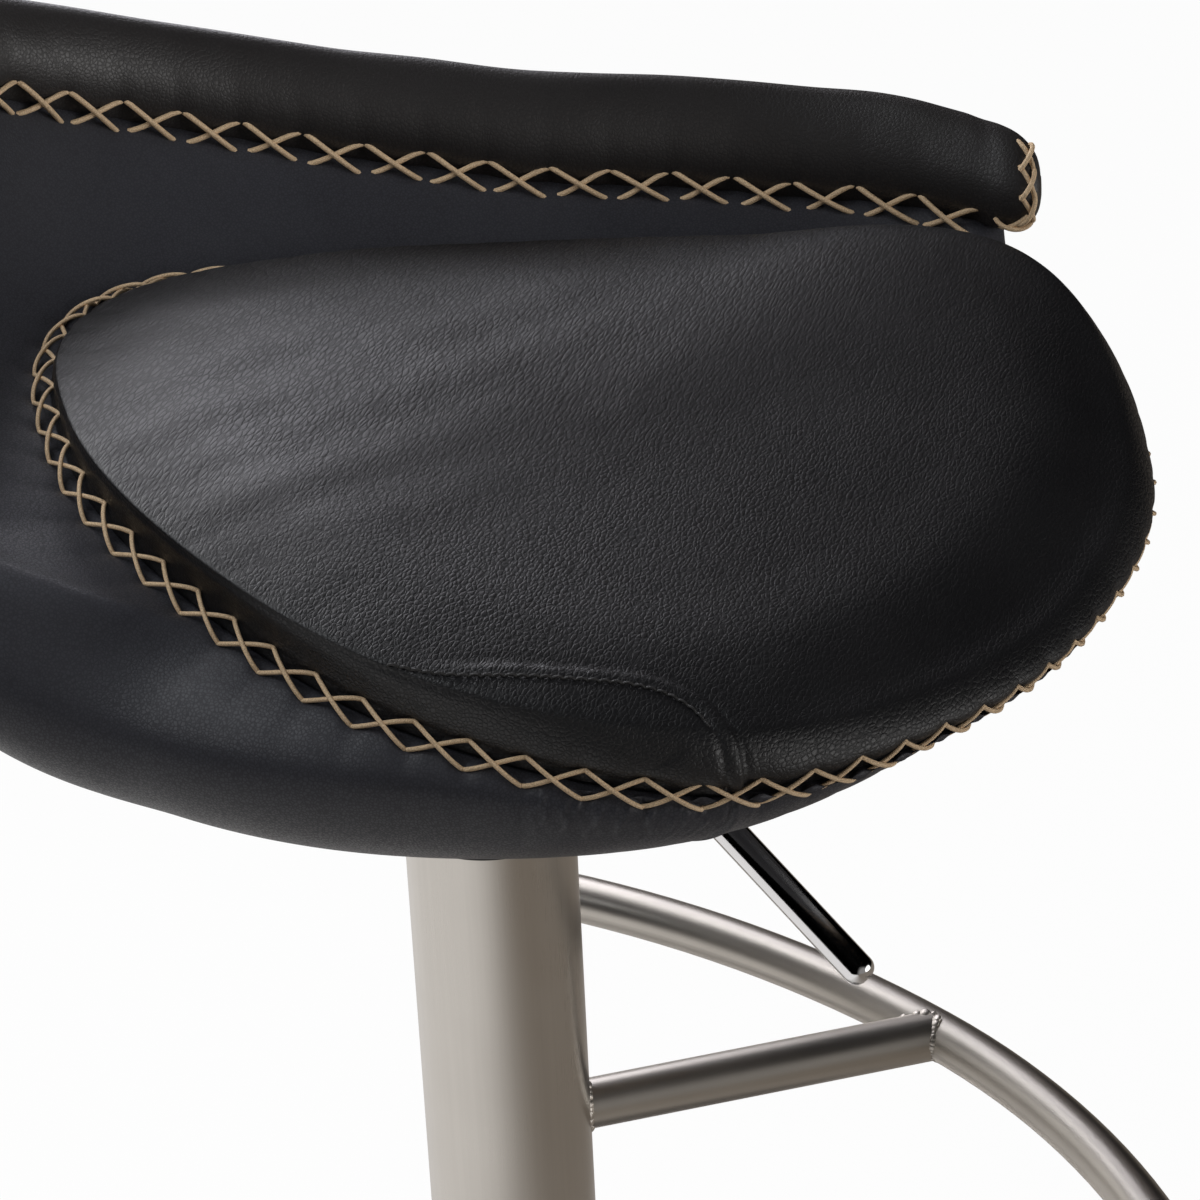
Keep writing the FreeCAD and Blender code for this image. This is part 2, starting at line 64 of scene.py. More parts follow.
def eased(places: Sequence[float], values: Rows, at: Rows) -> Rows:
    """Reads a table of stations with smooth slopes between them.

    Args:
        places: Where the stations stand, in rising order.
        values: One value, or one row of values, for each station.
        at: The places to read; they are held inside the table.

    Returns:
        The values at those places, one row for each.
    """
    spots, table = np.asarray(places, float), np.asarray(values, float)
    at = np.clip(np.asarray(at, float), spots[0], spots[-1])
    shape = (-1,) + (1,) * (table.ndim - 1)
    low = np.maximum(np.arange(len(spots)) - 1, 0)
    high = np.minimum(np.arange(len(spots)) + 1, len(spots) - 1)
    slopes = (table[high] - table[low]) / (spots[high] - spots[low]).reshape(shape)
    k = np.clip(np.searchsorted(spots, at, side="right") - 1, 0, len(spots) - 2)
    span = (spots[k + 1] - spots[k]).reshape(shape)
    t = (at - spots[k]).reshape(shape) / span
    return (table[k] * (1 + 2 * t) * (1 - t) ** 2 + table[k + 1] * t * t * (3 - 2 * t)
            + span * (slopes[k] * t * (1 - t) ** 2 - slopes[k + 1] * t * t * (1 - t)))


def around(values: Sequence[float], angles: Rows) -> Rows:
    """Reads evenly spaced stations of a closed ring.

    Args:
        values: One value for each station, from 0 degrees on.
        angles: Where to read.

    Returns:
        The values at those angles.
    """
    count = len(values)
    steps = np.arange(-2, count + 3)
    return eased(steps * (360.0 / count), np.asarray(values, float)[steps % count],
                 np.asarray(angles, float) % 360.0)


def fade(at: Rows, start: float, end: float) -> Rows:
    """Rises smoothly from 0 at start to 1 at end, which may be the lower of the two."""
    t = np.clip((np.asarray(at, float) - start) / (end - start), 0.0, 1.0)
    return t * t * (3 - 2 * t)


def unit(vectors: Rows) -> Rows:
    """Scales vectors to length 1."""
    return vectors / np.maximum(np.linalg.norm(vectors, axis=-1, keepdims=True), 1e-9)


def ring_angles(fine_from: float, fine_to: float) -> Rows:
    """Gives the directions of a ring's columns, which stand closer between two angles."""
    return np.r_[np.arange(0.0, fine_from, COARSE_STEP), np.arange(fine_from, fine_to, FINE_STEP),
                 np.arange(fine_to, 360.0, COARSE_STEP)]


def run_along(line: Rows) -> Rows:
    """Gives the length along a line of points, from 0 at its first."""
    return np.r_[0.0, np.cumsum(np.linalg.norm(np.diff(line, axis=0), axis=1))]


def read_along(at: Union[float, Rows], run: Rows, rows: Rows) -> Rows:
    """Reads rows of values, kept at the lengths in run, at other lengths."""
    return np.stack([np.interp(at, run, rows[:, k]) for k in range(rows.shape[1])], -1)


def bow(start: Rows, control: Rows, end: Rows, count: int) -> list[Rows]:
    """Gives points along quadratic curves, without their last point.

    Args:
        start: First points, one for each column.
        control: Control points.
        end: Last points.
        count: How many rows to give.

    Returns:
        The rows, from the start on.
    """
    steps = np.arange(count) / count
    return [start * (1 - t) ** 2 + control * 2 * t * (1 - t) + end * t * t for t in steps]


def even_rows(rows: Rows, count: int, gather: float) -> Rows:
    """Spreads each column's rows along its length.

    Args:
        rows: Points as (row, column, 3).
        count: How many rows to give.
        gather: Over 1 draws the rows towards the first one.

    Returns:
        The new rows as (count, column, 3).
    """
    out = np.empty((count,) + rows.shape[1:])
    share = np.linspace(0.0, 1.0, count) ** gather
    for column in range(rows.shape[1]):
        run = run_along(rows[:, column])
        out[:, column] = read_along(share * run[-1], run, rows[:, column])
    return out


def relaxed(rows: Rows, passes: int, share: Union[float, Rows], closed: bool = False) -> Rows:
    """Rounds the corners of each column.

    Args:
        rows: Points as (row, column, 3).
        passes: How often each point moves towards its neighbours' middle.
        share: How far it moves, for all or for each column.
        closed: Whether the last row joins the first.

    Returns:
        The rounded rows; open ends stay where they are.
    """
    rows = rows.copy()
    share = np.reshape(share, (-1, 1)) if np.ndim(share) else share
    for _ in range(passes):
        middle = (np.roll(rows, 1, 0) + np.roll(rows, -1, 0)) / 2
        step = (middle - rows) * share
        if not closed:
            step[0] = step[-1] = 0
        rows = rows + step
    return rows


def facing(rows: Rows) -> Rows:
    """Gives a grid's normals.

    Args:
        rows: Points as (row, column, 3); the columns go round, the rows are open.

    Returns:
        Unit normals of the same shape.
    """
    down = np.gradient(rows, axis=0)
    across = np.roll(rows, -1, 1) - np.roll(rows, 1, 1)
    return unit(np.cross(across, down))


def plain_mesh(name: str, points: Rows, faces: Sequence[Sequence[int]]) -> bpy.types.Object:
    """Makes an object at the origin from points in millimetres.

    Args:
        name: The piece's name.
        points: Points as (count, 3).
        faces: Corner numbers of each face.

    Returns:
        The new object, smooth shaded.
    """
    mesh = bpy.data.meshes.new(name)
    mesh.from_pydata((points * MM).tolist(), [], faces)
    mesh.polygons.foreach_set("use_smooth", [True] * len(mesh.polygons))
    mesh.update()
    piece = bpy.data.objects.new(name, mesh)
    bpy.context.scene.collection.objects.link(piece)
    return piece


def closed_skin(name: str, rows: Rows, start: Rows, end: Rows,
                finish: Optional[bpy.types.Material] = None) -> bpy.types.Object:
    """Makes a closed surface from rings, with its faces turned outwards.

    Args:
        name: The piece's name.
        rows: Rings as (ring, column, 3); each ring is closed.
        start: The point that closes the first ring.
        end: The point that closes the last ring.
        finish: Its material.

    Returns:
        The new object.
    """
    rings, columns = rows.shape[:2]
    points = np.vstack([rows.reshape(-1, 3), start, end])
    ring, column = np.meshgrid(np.arange(rings - 1), np.arange(columns), indexing="ij")
    a = (ring * columns + column).ravel()
    b = (ring * columns + (column + 1) % columns).ravel()
    quads = np.stack([a, b, b + columns, a + columns], 1)
    one, two = np.arange(columns), (np.arange(columns) + 1) % columns
    first = np.stack([two, one, np.full(columns, rings * columns)], 1)
    base = (rings - 1) * columns
    last = np.stack([base + one, base + two, np.full(columns, rings * columns + 1)], 1)
    corners = np.vstack([quads[:, [0, 1, 2]], quads[:, [0, 2, 3]], first, last])
    middle = points.mean(0)
    p, q, r = ((points[corners[:, k]] - middle) for k in range(3))
    faces = quads.tolist() + first.tolist() + last.tolist()
    if np.einsum("ij,ij->", p, np.cross(q, r)) < 0:
        faces = [face[::-1] for face in faces]
    piece = plain_mesh(name, points, faces)
    if finish:
        piece.data.materials.append(finish)
    return piece


# ---------------------------------------------------------------- node graphs


class Value:
    """A number socket that takes part in Python arithmetic."""

    def __init__(self, graph: "Graph", socket: bpy.types.NodeSocket) -> None:
        """Keeps the graph and the socket."""
        self.graph, self.socket = graph, socket

    def _math(self, operation: str, other: "Operand", swap: bool = False) -> "Value":
        """Adds one Math node; swap puts the other operand first."""
        pair = (other, self) if swap else (self, other)
        return self.graph.value("ShaderNodeMath", {"operation": operation}, dict(enumerate(pair)))

    def __add__(self, other: "Operand") -> "Value":
        """Adds."""
        return self._math("ADD", other)

    def __sub__(self, other: "Operand") -> "Value":
        """Takes away."""
        return self._math("SUBTRACT", other)

    def __rsub__(self, other: "Operand") -> "Value":
        """Takes this away from a number."""
        return self._math("SUBTRACT", other, True)

    def __mul__(self, other: "Operand") -> "Value":
        """Multiplies."""
        return self._math("MULTIPLY", other)

    def __pow__(self, other: "Operand") -> "Value":
        """Raises to a power."""
        return self._math("POWER", other)

    __radd__, __rmul__ = __add__, __mul__

    def step(self, low: float, high: float) -> "Value":
        """Rises smoothly from 0 at low to 1 at high."""
        return self.graph.value("ShaderNodeMapRange", {"interpolation_type": "SMOOTHSTEP"},
                                {"Value": self, "From Min": low, "From Max": high})


Operand = Union[Value, float]


class Graph:
    """Adds nodes to a shader or geometry tree."""

    def __init__(self, tree: bpy.types.NodeTree) -> None:
        """Starts with an empty tree."""
        self.tree = tree
        tree.nodes.clear()

    def node(self, kind: str, settings: Optional[Mapping[str, Any]] = None,
             sockets: Optional[Mapping[Any, Any]] = None) -> bpy.types.Node:
        """Adds one node.

        Args:
            kind: The node's type.
            settings: Its properties, which are set first.
            sockets: A value or link for each input, by number, identifier or name.

        Returns:
            The new node.
        """
        node = self.tree.nodes.new(kind)
        for key, setting in (settings or {}).items():
            setattr(node, key, setting)
        for key, given in (sockets or {}).items():
            named = {s.name: s for s in reversed(node.inputs)} | {s.identifier: s for s in node.inputs}
            self.feed(node.inputs[key] if isinstance(key, int) else named[key], given)
        return node

    def feed(self, socket: bpy.types.NodeSocket, given: Any) -> None:
        """Fills one input.

        Args:
            socket: The input.
            given: A socket or value wrapper, which is linked, or a plain value, which is set.
        """
        given = given.socket if isinstance(given, Value) else given
        if isinstance(given, bpy.types.NodeSocket):
            self.tree.links.new(given, socket)
        else:
            socket.default_value = given

    def value(self, kind: str, settings: Optional[Mapping[str, Any]] = None,
              sockets: Optional[Mapping[Any, Any]] = None, output: Union[int, str] = 0) -> Value:
        """Adds a node and wraps one of its outputs.

        Args:
            kind: The node's type.
            settings: Its properties.
            sockets: Its inputs.
            output: The output to wrap.

        Returns:
            The wrapped output.
        """
        return Value(self, self.node(kind, settings, sockets).outputs[output])

    def vector(self, operation: str, sockets: Mapping[Any, Any]) -> bpy.types.NodeSocket:
        """Adds one Vector Math node that gives a vector."""
        return self.node("ShaderNodeVectorMath", {"operation": operation}, sockets).outputs[0]

    def along(self, vector: bpy.types.NodeSocket, axis: Any) -> Value:
        """Measures a vector along an axis."""
        return self.value("ShaderNodeVectorMath", {"operation": "DOT_PRODUCT"},
                          {0: vector, 1: axis}, "Value")


class Surface(Graph):
    """A material under construction, patterned on Object coordinates."""

    def __init__(self, name: str) -> None:
        """Makes the material with its shader and output."""
        self.material = bpy.data.materials.new(name)
        self.material.use_nodes = True
        super().__init__(self.material.node_tree)
        self.shader = self.node("ShaderNodeBsdfPrincipled")
        self.node("ShaderNodeOutputMaterial", sockets={"Surface": self.shader.outputs[0]})
        self.place = self.node("ShaderNodeTexCoord").outputs["Object"]

    def scaled(self, *per_mm: float) -> bpy.types.NodeSocket:
        """Stretches the coordinates, in pattern units per millimetre: one for all axes, or three."""
        sizes = per_mm if len(per_mm) == 3 else per_mm * 3
        return self.vector("MULTIPLY", {0: self.place, 1: [v * 1000 for v in sizes]})

    def noise(self, vector: bpy.types.NodeSocket, detail: float = 3.0,
              roughness: float = 0.55) -> Value:
        """Adds soft noise of about one lump per unit."""
        return self.value("ShaderNodeTexNoise", None,
                          {"Vector": vector, "Scale": 1.0, "Detail": detail, "Roughness": roughness})

    def warped(self, vector: bpy.types.NodeSocket, share: float) -> bpy.types.NodeSocket:
        """Shakes a vector by noise of its own size.

        Args:
            vector: The vector.
            share: How far the noise moves it, in pattern units.

        Returns:
            The shaken vector.
        """
        shake = self.node("ShaderNodeTexNoise", None, {"Vector": vector, "Scale": 0.6, "Detail": 2.0})
        spread = self.vector("SCALE", {0: shake.outputs["Color"], "Scale": share})
        return self.vector("ADD", {0: vector, 1: spread})

    def cells(self, vector: bpy.types.NodeSocket, feature: str = "DISTANCE_TO_EDGE") -> Value:
        """Adds the pattern of pebbles: as it stands, the distance to the furrow round each."""
        return self.value("ShaderNodeTexVoronoi", {"feature": feature},
                          {"Vector": vector, "Scale": 1.0, "Randomness": 0.9})

    def blend(self, share: Operand, low: Any, high: Any) -> bpy.types.NodeSocket:
        """Mixes two colours, given as triples or links."""
        ends = [(*c, 1.0) if isinstance(c, tuple) else c for c in (low, high)]
        return self.node("ShaderNodeMix", {"data_type": "RGBA"},
                         {"Factor_Float": share, "A_Color": ends[0], "B_Color": ends[1]}).outputs[2]

    def done(self, colour: Any, roughness: Operand, height: Optional[Value] = None,
             depth_mm: float = 0.1, **constants: Any) -> bpy.types.Material:
        """Links the shader.

        Args:
            colour: Base colour.
            roughness: Roughness.
            height: Relief from 0 to 1.
            depth_mm: How deep that relief is.
            constants: Shader sockets that are the same all over, with _ for a space.

        Returns:
            The finished material.
        """
        plain = isinstance(colour, tuple)
        self.feed(self.shader.inputs["Base Color"], (*colour, 1.0) if plain else colour)
        self.feed(self.shader.inputs["Roughness"], roughness)
        if height is not None:
            bump = self.node("ShaderNodeBump", None,
                             {"Height": height, "Distance": depth_mm * MM, "Strength": 1.0})
            self.feed(self.shader.inputs["Normal"], bump.outputs[0])
        for key, constant in constants.items():
            self.feed(self.shader.inputs[key.replace("_", " ")], constant)
        return self.material


# ---------------------------------------------------------------- finishes


@dataclass(frozen=True)
class Leather:
    """Dyed hide with pebbles, furrows and pores; its colour darkens in the furrows as painted shade and varies
    in random patches.

    drawn and ridged are how long the pebbles are at the front and at the rear, as a share of their
    width; the one turns into the other along ridge_axis, between the two places of ridge_span.
    """

    name: str
    dark_patch_and_furrow_shade: Colour
    raised: Colour
    pebble: float
    relief: float
    gloss: float
    crease: float = 1.5
    drawn: float = 1.0
    ridged: float = 1.0
    shine: float = 0.5
    ridge_axis: tuple[float, float, float] = (0.5, 0.87, 0.0)
    ridge_span: tuple[float, float] = (-0.11, 0.0)

    def _pebbles(self, s: Surface, length: float) -> tuple[Value, Value]:
        """Draws the pebbles.

        Args:
            s: The material.
            length: How long they are.

        Returns:
            The round pebbles, and the furrows between them.
        """
        size = 1.0 / self.pebble
        place = s.warped(s.scaled(size / length, size, size), 0.7)
        return 1 - s.cells(place, "F1") ** 2.0, s.cells(place).step(0.0, 0.26)

    def material(self) -> bpy.types.Material:
        """Builds the leather.

        Returns:
            The finished material.
        """
        s = Surface(self.name)
        dome, furrow = self._pebbles(s, self.drawn)
        if self.ridged != self.drawn:
            far = s.along(s.place, self.ridge_axis).step(*self.ridge_span)
            ridge, groove = self._pebbles(s, self.ridged)
            dome = dome * (1 - far) + ridge * far * 0.7
            furrow = furrow * (1 - far) + (groove * 0.6 + 0.4) * far
        pores = s.noise(s.scaled(2.4), 2.0)
        folds = s.noise(s.warped(s.scaled(0.045), 2.0), 4.0)
        patches = s.noise(s.scaled(0.012), 3.0)
        height = dome * 0.5 + furrow * 0.35 + pores * 0.18 + folds * self.crease
        # Painted shade: the colour darkens towards the furrows' recesses; the patches vary the tone at random,
        # as the hide's own colour.
        tone = s.blend(furrow * 0.6 + (patches - 0.5) * 0.7 + 0.1, self.dark_patch_and_furrow_shade, self.raised)
        rough = self.gloss + (1 - furrow) * 0.16 + (patches - 0.5) * 0.18 + (pores - 0.5) * 0.08
        return s.done(tone, rough, height, self.relief, Specular_IOR_Level=self.shine)


class Brush(Enum):
    """Which way a metal's brush marks run."""

    UPRIGHT = "upright"
    ROUND = "round"
    SATIN = "satin"


@dataclass(frozen=True)
class Steel:
    """Bare or plated metal with fine brush marks."""

    name: str
    colour: Colour
    roughness: float
    brush: Brush = Brush.SATIN
    depth: float = 0.006
    streak: float = 0.1
    metallic: float = 1.0

    def material(self) -> bpy.types.Material:
        """Builds the metal.

        Returns:
            The finished material.
        """
        s = Surface(self.name)
        if self.brush is Brush.UPRIGHT:
            fine, broad = s.scaled(5.0, 5.0, 0.03), s.scaled(0.4, 0.4, 0.006)
        elif self.brush is Brush.ROUND:
            ring = s.node("ShaderNodeVectorMath", {"operation": "LENGTH"},
                          {0: s.scaled(1.0, 1.0, 0.0)}).outputs["Value"]
            line = s.node("ShaderNodeCombineXYZ", None, {0: ring}).outputs[0]
            fine, broad = (s.vector("SCALE", {0: line, "Scale": size}) for size in (4.0, 0.3))
        else:
            fine, broad = s.scaled(2.5), s.scaled(0.06)
        marks, clouds = s.noise(fine, 4.0, 0.7), s.noise(broad, 3.0)
        smudge = s.noise(s.scaled(0.02), 4.0).step(0.35, 0.7)
        dull = tuple(c * 0.82 for c in self.colour)
        tone = s.blend(marks * 0.5 + clouds * 0.5, dull, self.colour)
        rough = self.roughness + (marks - 0.5) * self.streak + smudge * self.streak * 0.5
        return s.done(tone, rough, marks, self.depth, Metallic=self.metallic)


@dataclass(frozen=True)
class Moulding:
    """Moulded, painted or vulcanised parts with a fine texture."""

    name: str
    colour: Colour
    roughness: float
    lump: float
    relief: float

    def material(self) -> bpy.types.Material:
        """Builds the moulded surface.

        Returns:
            The finished material.
        """
        s = Surface(self.name)
        texture = s.noise(s.scaled(1.0 / self.lump), 3.0)
        scuffs = s.noise(s.scaled(0.05), 4.0).step(0.45, 0.75)
        pale = tuple(c * 1.8 + 0.01 for c in self.colour)
        tone = s.blend(scuffs * 0.35, self.colour, pale)
        return s.done(tone, self.roughness + scuffs * 0.12, texture, self.relief)


@dataclass(frozen=True)
class Plywood:
    """Raw birch ply: face grain with edge layers."""

    name: str
    pale: Colour = (0.62, 0.46, 0.29)
    dark: Colour = (0.40, 0.27, 0.15)
    layer: float = 1.55

    def material(self) -> bpy.types.Material:
        """Builds the wood.

        Returns:
            The finished material.
        """
        s = Surface(self.name)
        grain = s.noise(s.warped(s.scaled(0.5, 0.02, 0.5), 0.6), 5.0)
        layers = s.noise(s.scaled(0.002, 0.002, 1.0 / self.layer), 0.0)
        tone = s.blend(grain * 0.7 + layers * 0.4, self.pale, self.dark)
        return s.done(tone, 0.62 + grain * 0.15, grain, 0.05)


@dataclass(frozen=True)
class Thread:
    """Waxed cord with its plies and fuzz."""

    name: str
    pale: Colour
    dark: Colour
    roughness: float = 0.6

    def material(self) -> bpy.types.Material:
        """Builds the thread.

        Returns:
            The finished material.
        """
        s = Surface(self.name)
        plies = s.noise(s.scaled(2.2), 2.0)
        stain = s.noise(s.scaled(0.03), 3.0)
        tone = s.blend(plies.step(0.35, 0.62) * 0.75 + stain * 0.25, self.dark, self.pale)
        return s.done(tone, self.roughness, plies, 0.25)


GRAINED_HIDE = Leather("grained_hide", (0.004, 0.004, 0.005), (0.016, 0.0155, 0.017), 1.5, 0.19, 0.40,
                       drawn=1.9, ridged=4.2, shine=0.44)
SMOOTH_HIDE = Leather("smooth_hide", (0.030, 0.030, 0.036), (0.057, 0.058, 0.068), 1.3, 0.07, 0.40,
                      shine=0.27)


# ---------------------------------------------------------------- stitches by Geometry Nodes


def points_piece(name: str, points: Rows, along: Rows, out: Rows) -> bpy.types.Object:
    """Makes loose points with two directions each, for instances to stand on.

    Args:
        name: The piece's name.
        points: Places in millimetres.
        along: The first direction at each.
        out: The second direction at each.

    Returns:
        The points as a mesh object.
    """
    piece = plain_mesh(name, points, [])
    for title, vectors in (("along", along), ("out", out)):
        layer = piece.data.attributes.new(title, "FLOAT_VECTOR", "POINT")
        layer.data.foreach_set("vector", unit(vectors).astype(np.float32).ravel())
    return piece


class PointTree(Graph):
    """A Geometry Nodes tree that sets one shape on every point of a piece."""

    def __init__(self, name: str, inputs: Mapping[str, str]) -> None:
        """Makes the tree with its named inputs.

        Args:
            name: The tree's name.
            inputs: The kind of socket for each input, by its title.
        """
        super().__init__(bpy.data.node_groups.new(name, "GeometryNodeTree"))
        sides = self.tree.interface
        sides.new_socket("Points", in_out="INPUT", socket_type="NodeSocketGeometry")
        self.keys = {title: sides.new_socket(title, in_out="INPUT", socket_type="NodeSocket" + kind).identifier
                     for title, kind in inputs.items()}
        sides.new_socket("Shapes", in_out="OUTPUT", socket_type="NodeSocketGeometry")
        self.given = self.node("NodeGroupInput").outputs

    def set_out(self, shape: bpy.types.NodeSocket, more: Mapping[str, Any]) -> None:
        """Sets the shape on the points, turned to their two directions, and dresses it.

        Args:
            shape: The shape's geometry.
            more: Further inputs of the node that sets it out.
        """
        along, out = (self.node("GeometryNodeInputNamedAttribute", {"data_type": "FLOAT_VECTOR"},
                                {"Name": title}).outputs[0] for title in ("along", "out"))
        turned = self.node("FunctionNodeAxesToRotation", {"primary_axis": "X", "secondary_axis": "Z"},
                           {0: along, 1: out})
        laid = self.node("GeometryNodeInstanceOnPoints", None, {
            "Points": self.given["Points"], "Instance": shape, "Rotation": turned.outputs[0], **more})
        real = self.node("GeometryNodeRealizeInstances", None, {0: laid.outputs[0]})
        soft = self.node("GeometryNodeSetShadeSmooth", None, {0: real.outputs[0]})
        dressed = self.node("GeometryNodeSetMaterial", None,
                            {0: soft.outputs[0], "Material": self.given["Finish"]})
        self.node("NodeGroupOutput", None, {0: dressed.outputs[0]})

    def grown(self, piece: bpy.types.Object, settings: Mapping[str, Any]) -> bpy.types.Object:
        """Runs the tree on a piece and keeps the result as its plain mesh.

        Args:
            piece: The piece.
            settings: The tree's inputs by their titles.

        Returns:
            The same piece.
        """
        modifier = piece.modifiers.new("nodes", "NODES")
        modifier.node_group = self.tree
        for title, value in settings.items():
            modifier[self.keys[title]] = value
        depsgraph = bpy.context.evaluated_depsgraph_get()
        made = bpy.data.meshes.new_from_object(piece.evaluated_get(depsgraph))
        piece.modifiers.remove(modifier)
        piece.data = made
        return piece


class StitchKind(Enum):
    """How a thread crosses its seam."""

    CROSS = "cross"
    RUNNING = "running"


@dataclass(frozen=True)
class StitchRow:
    """A row of stitches of one size, laid on points by a Geometry Nodes tree."""

    name: str
    kind: StitchKind
    pitch: float
    height: float
    thread: float
    rise: float = 1.3
    sink: float = 1.2
    slack: float = 0.6
    flat: float = 0.3
    overlap: float = 0.42
    lean: float = 0.12
    flat_draw: float = 0.45
    flat_lean: float = 0.23
    facets: int = 7
    bends: int = 12

    def _tree(self) -> PointTree:
        """Builds the tree: one bent strand, or two that cross, swept along each point's directions.

        Returns:
            The tree.
        """
        g = PointTree(self.name, {"Pitch": "Float", "Height": "Float", "Thread": "Float", "Rise": "Float",
                                  "Sink": "Float", "Facets": "Int", "Bends": "Int", "Finish": "Material"})
        pitch, height, thread, rise, sink = (
            Value(g, g.given[title]) for title in ("Pitch", "Height", "Thread", "Rise", "Sink"))
        ring = g.node("GeometryNodeCurvePrimitiveCircle", {"mode": "RADIUS"},
                      {"Resolution": g.given["Facets"], "Radius": thread * 0.5}).outputs[0]
        joined = g.node("GeometryNodeJoinGeometry")
        for turn in ((1.0, -1.0) if self.kind is StitchKind.CROSS else (0.0,)):
            # The handles stand so high that the strand's middle comes to its rise.
            over = (rise + thread * (self.overlap * (1.0 - turn))) * (4.0 / 3.0) + sink * (1.0 / 3.0)
            flat = self.flat * max(turn, 0.0)
            bent = self.slack * (1 - self.flat_draw * flat)
            lean = self.slack + self.lean + self.flat_lean * flat
            corners = [g.node("ShaderNodeCombineXYZ", None, {
                0: pitch * (0.5 * reach), 1: height * (0.5 * side * turn), 2: level}).outputs[0]
                for reach, side, level in ((-1.0, -1.0, sink * -1.0), (-bent, -lean, over),
                                           (bent, lean, over), (1.0, 1.0, sink * -1.0))]
            strand = g.node("GeometryNodeCurvePrimitiveBezierSegment", None, dict(zip(
                ("Resolution", "Start", "Start Handle", "End Handle", "End"),
                (g.given["Bends"], *corners))))
            g.tree.links.new(strand.outputs[0], joined.inputs[0])
        swept = g.node("GeometryNodeCurveToMesh", None, {
            "Curve": joined.outputs[0], "Profile Curve": ring, "Fill Caps": True})
        g.set_out(swept.outputs[0], {})
        return g

    def lay(self, points: Rows, along: Rows, out: Rows, finish: bpy.types.Material) -> bpy.types.Object:
        """Lays one stitch on each point.

        Args:
            points: The crossings, in millimetres.
            along: The seam's direction at each.
            out: The direction out of the leather at each.
            finish: The thread's material.

        Returns:
            The stitches as one plain mesh.
        """
        sizes = {"Pitch": self.pitch, "Height": self.height, "Thread": self.thread,
                 "Rise": self.rise, "Sink": self.sink}
        settings = {title: size * MM for title, size in sizes.items()}
        settings.update(Facets=self.facets, Bends=self.bends, Finish=finish)
        return self._tree().grown(points_piece(self.name, points, along, out), settings)


# ---------------------------------------------------------------- upholstery


@dataclass(frozen=True)
class Rim:
    """The sloping plane and outline on which the seat meets its shell."""

    centre_y: float = -50.0
    height: float = 640.0
    slope: float = 0.2
    radii: tuple[float, ...] = (168, 158, 166, 197, 187, 177, 184, 189, 176, 180, 203, 222)
    dips: tuple[float, ...] = (0, 3, 2.5, 2, 0, 0, 0, 0, 0, 0, 0, 0)
    drops: tuple[float, ...] = (3, 5, 4.5, 0.5, 0, 0, 0, 0, 0, 0, 0, 1)

    def dip(self, angles: Rows) -> Rows:
        """Gives how far the cushion's edge lies under the plane."""
        return around(self.dips, angles)

    def seam_dip(self, angles: Rows) -> Rows:
        """Gives how far the seam itself lies under the plane."""
        return self.dip(angles) + around(self.drops, angles)

    def radius(self, angles: Rows) -> Rows:
        """Gives the seam's radius."""
        return around(self.radii, angles)

    def out(self, angles: Rows) -> Rows:
        """Gives the level direction away from the seat's centre."""
        turn = np.radians(angles)
        return np.stack([np.cos(turn), np.sin(turn), np.zeros_like(turn)], -1)

    def at_height(self, angles: Rows, radius: Rows, height: Rows) -> Rows:
        """Gives points at a height over the floor.

        Args:
            angles: Directions from the seat's centre.
            radius: How far from it.
            height: How high.

        Returns:
            One point for each angle.
        """
        place = self.out(np.asarray(angles, float)) * np.asarray(radius, float)[..., None]
        place[..., 1] += self.centre_y
        place[..., 2] = height
        return place

    def point(self, angles: Rows, radius: Rows, lift: Rows) -> Rows:
        """Gives points near the sloping plane.

        Args:
            angles: Directions from the seat's centre.
            radius: How far from it.
            lift: How high over the plane.

        Returns:
            One point for each angle.
        """
        place = self.at_height(angles, np.broadcast_to(radius, np.shape(angles)), 0.0)
        place[..., 2] = self.height + self.slope * place[..., 1] + lift
        return place

    def middle(self, lift: float) -> Rows:
        """Gives the seat's centre at a lift over the plane."""
        return np.array([0.0, self.centre_y, self.height + self.slope * self.centre_y + lift])


@dataclass
class Seam:
    """Where the stitches of one seam stand along it."""

    angles: Rows
    path: Rows
    pitch: float
    anchor: float
    closed: bool
    length: Rows = field(init=False)
    step: float = field(init=False)

    def __post_init__(self) -> None:
        """Measures the path and fits a whole number of stitches to a closed one."""
        self.length = run_along(self.path)
        whole = max(1, round(self.length[-1] / self.pitch))
        self.step = self.length[-1] / whole if self.closed else self.pitch

    def phase(self, angles: Rows) -> Rows:
        """Gives how far along its stitch each angle is: 0 at a crossing, 0.5 at the holes."""
        start = np.interp(self.anchor, self.angles, self.length)
        return ((np.interp(angles, self.angles, self.length) - start) / self.step) % 1.0

    def crossings(self) -> Rows:
        """Gives the lengths along the path at which the threads cross.

        Returns:
            One length for each crossing.
        """
        start = np.interp(self.anchor, self.angles, self.length) % self.step
        steps = (self.length[-1] - start) / self.step
        return start + self.step * np.arange(int(round(steps)) if self.closed else int(steps) + 1)

    def heading(self, lengths: Rows, reach: float = 4.0) -> Rows:
        """Gives the seam's direction at lengths along it."""
        ahead, behind = (read_along(lengths + turn, self.length, self.path) for turn in (reach, -reach))
        return unit(ahead - behind)


@dataclass(frozen=True)
class Pucker:
    """How the leather draws in at the holes of a stitched seam."""

    hole: float = 4.6
    spread: float = 3.0
    depth: float = 1.0
    swell: float = 0.5
    reach: float = 14.0
    edge: float = 3.0

    def lift(self, distance: Rows, phase: Rows) -> Rows:
        """Gives the height of the leather, in millimetres.

        Args:
            distance: How far from the seam.
            phase: Where along the stitch.

        Returns:
            The height over the smooth form.
        """
        at_hole = (0.5 - 0.5 * np.cos(2 * np.pi * phase)) ** 3
        dimple = np.exp(-(((distance - self.hole) / self.spread) ** 2)) * at_hole * self.depth
        puff = np.exp(-distance / self.reach) * (1 - np.exp(-distance / self.edge))
        return puff * (0.5 - at_hole) * self.swell - dimple


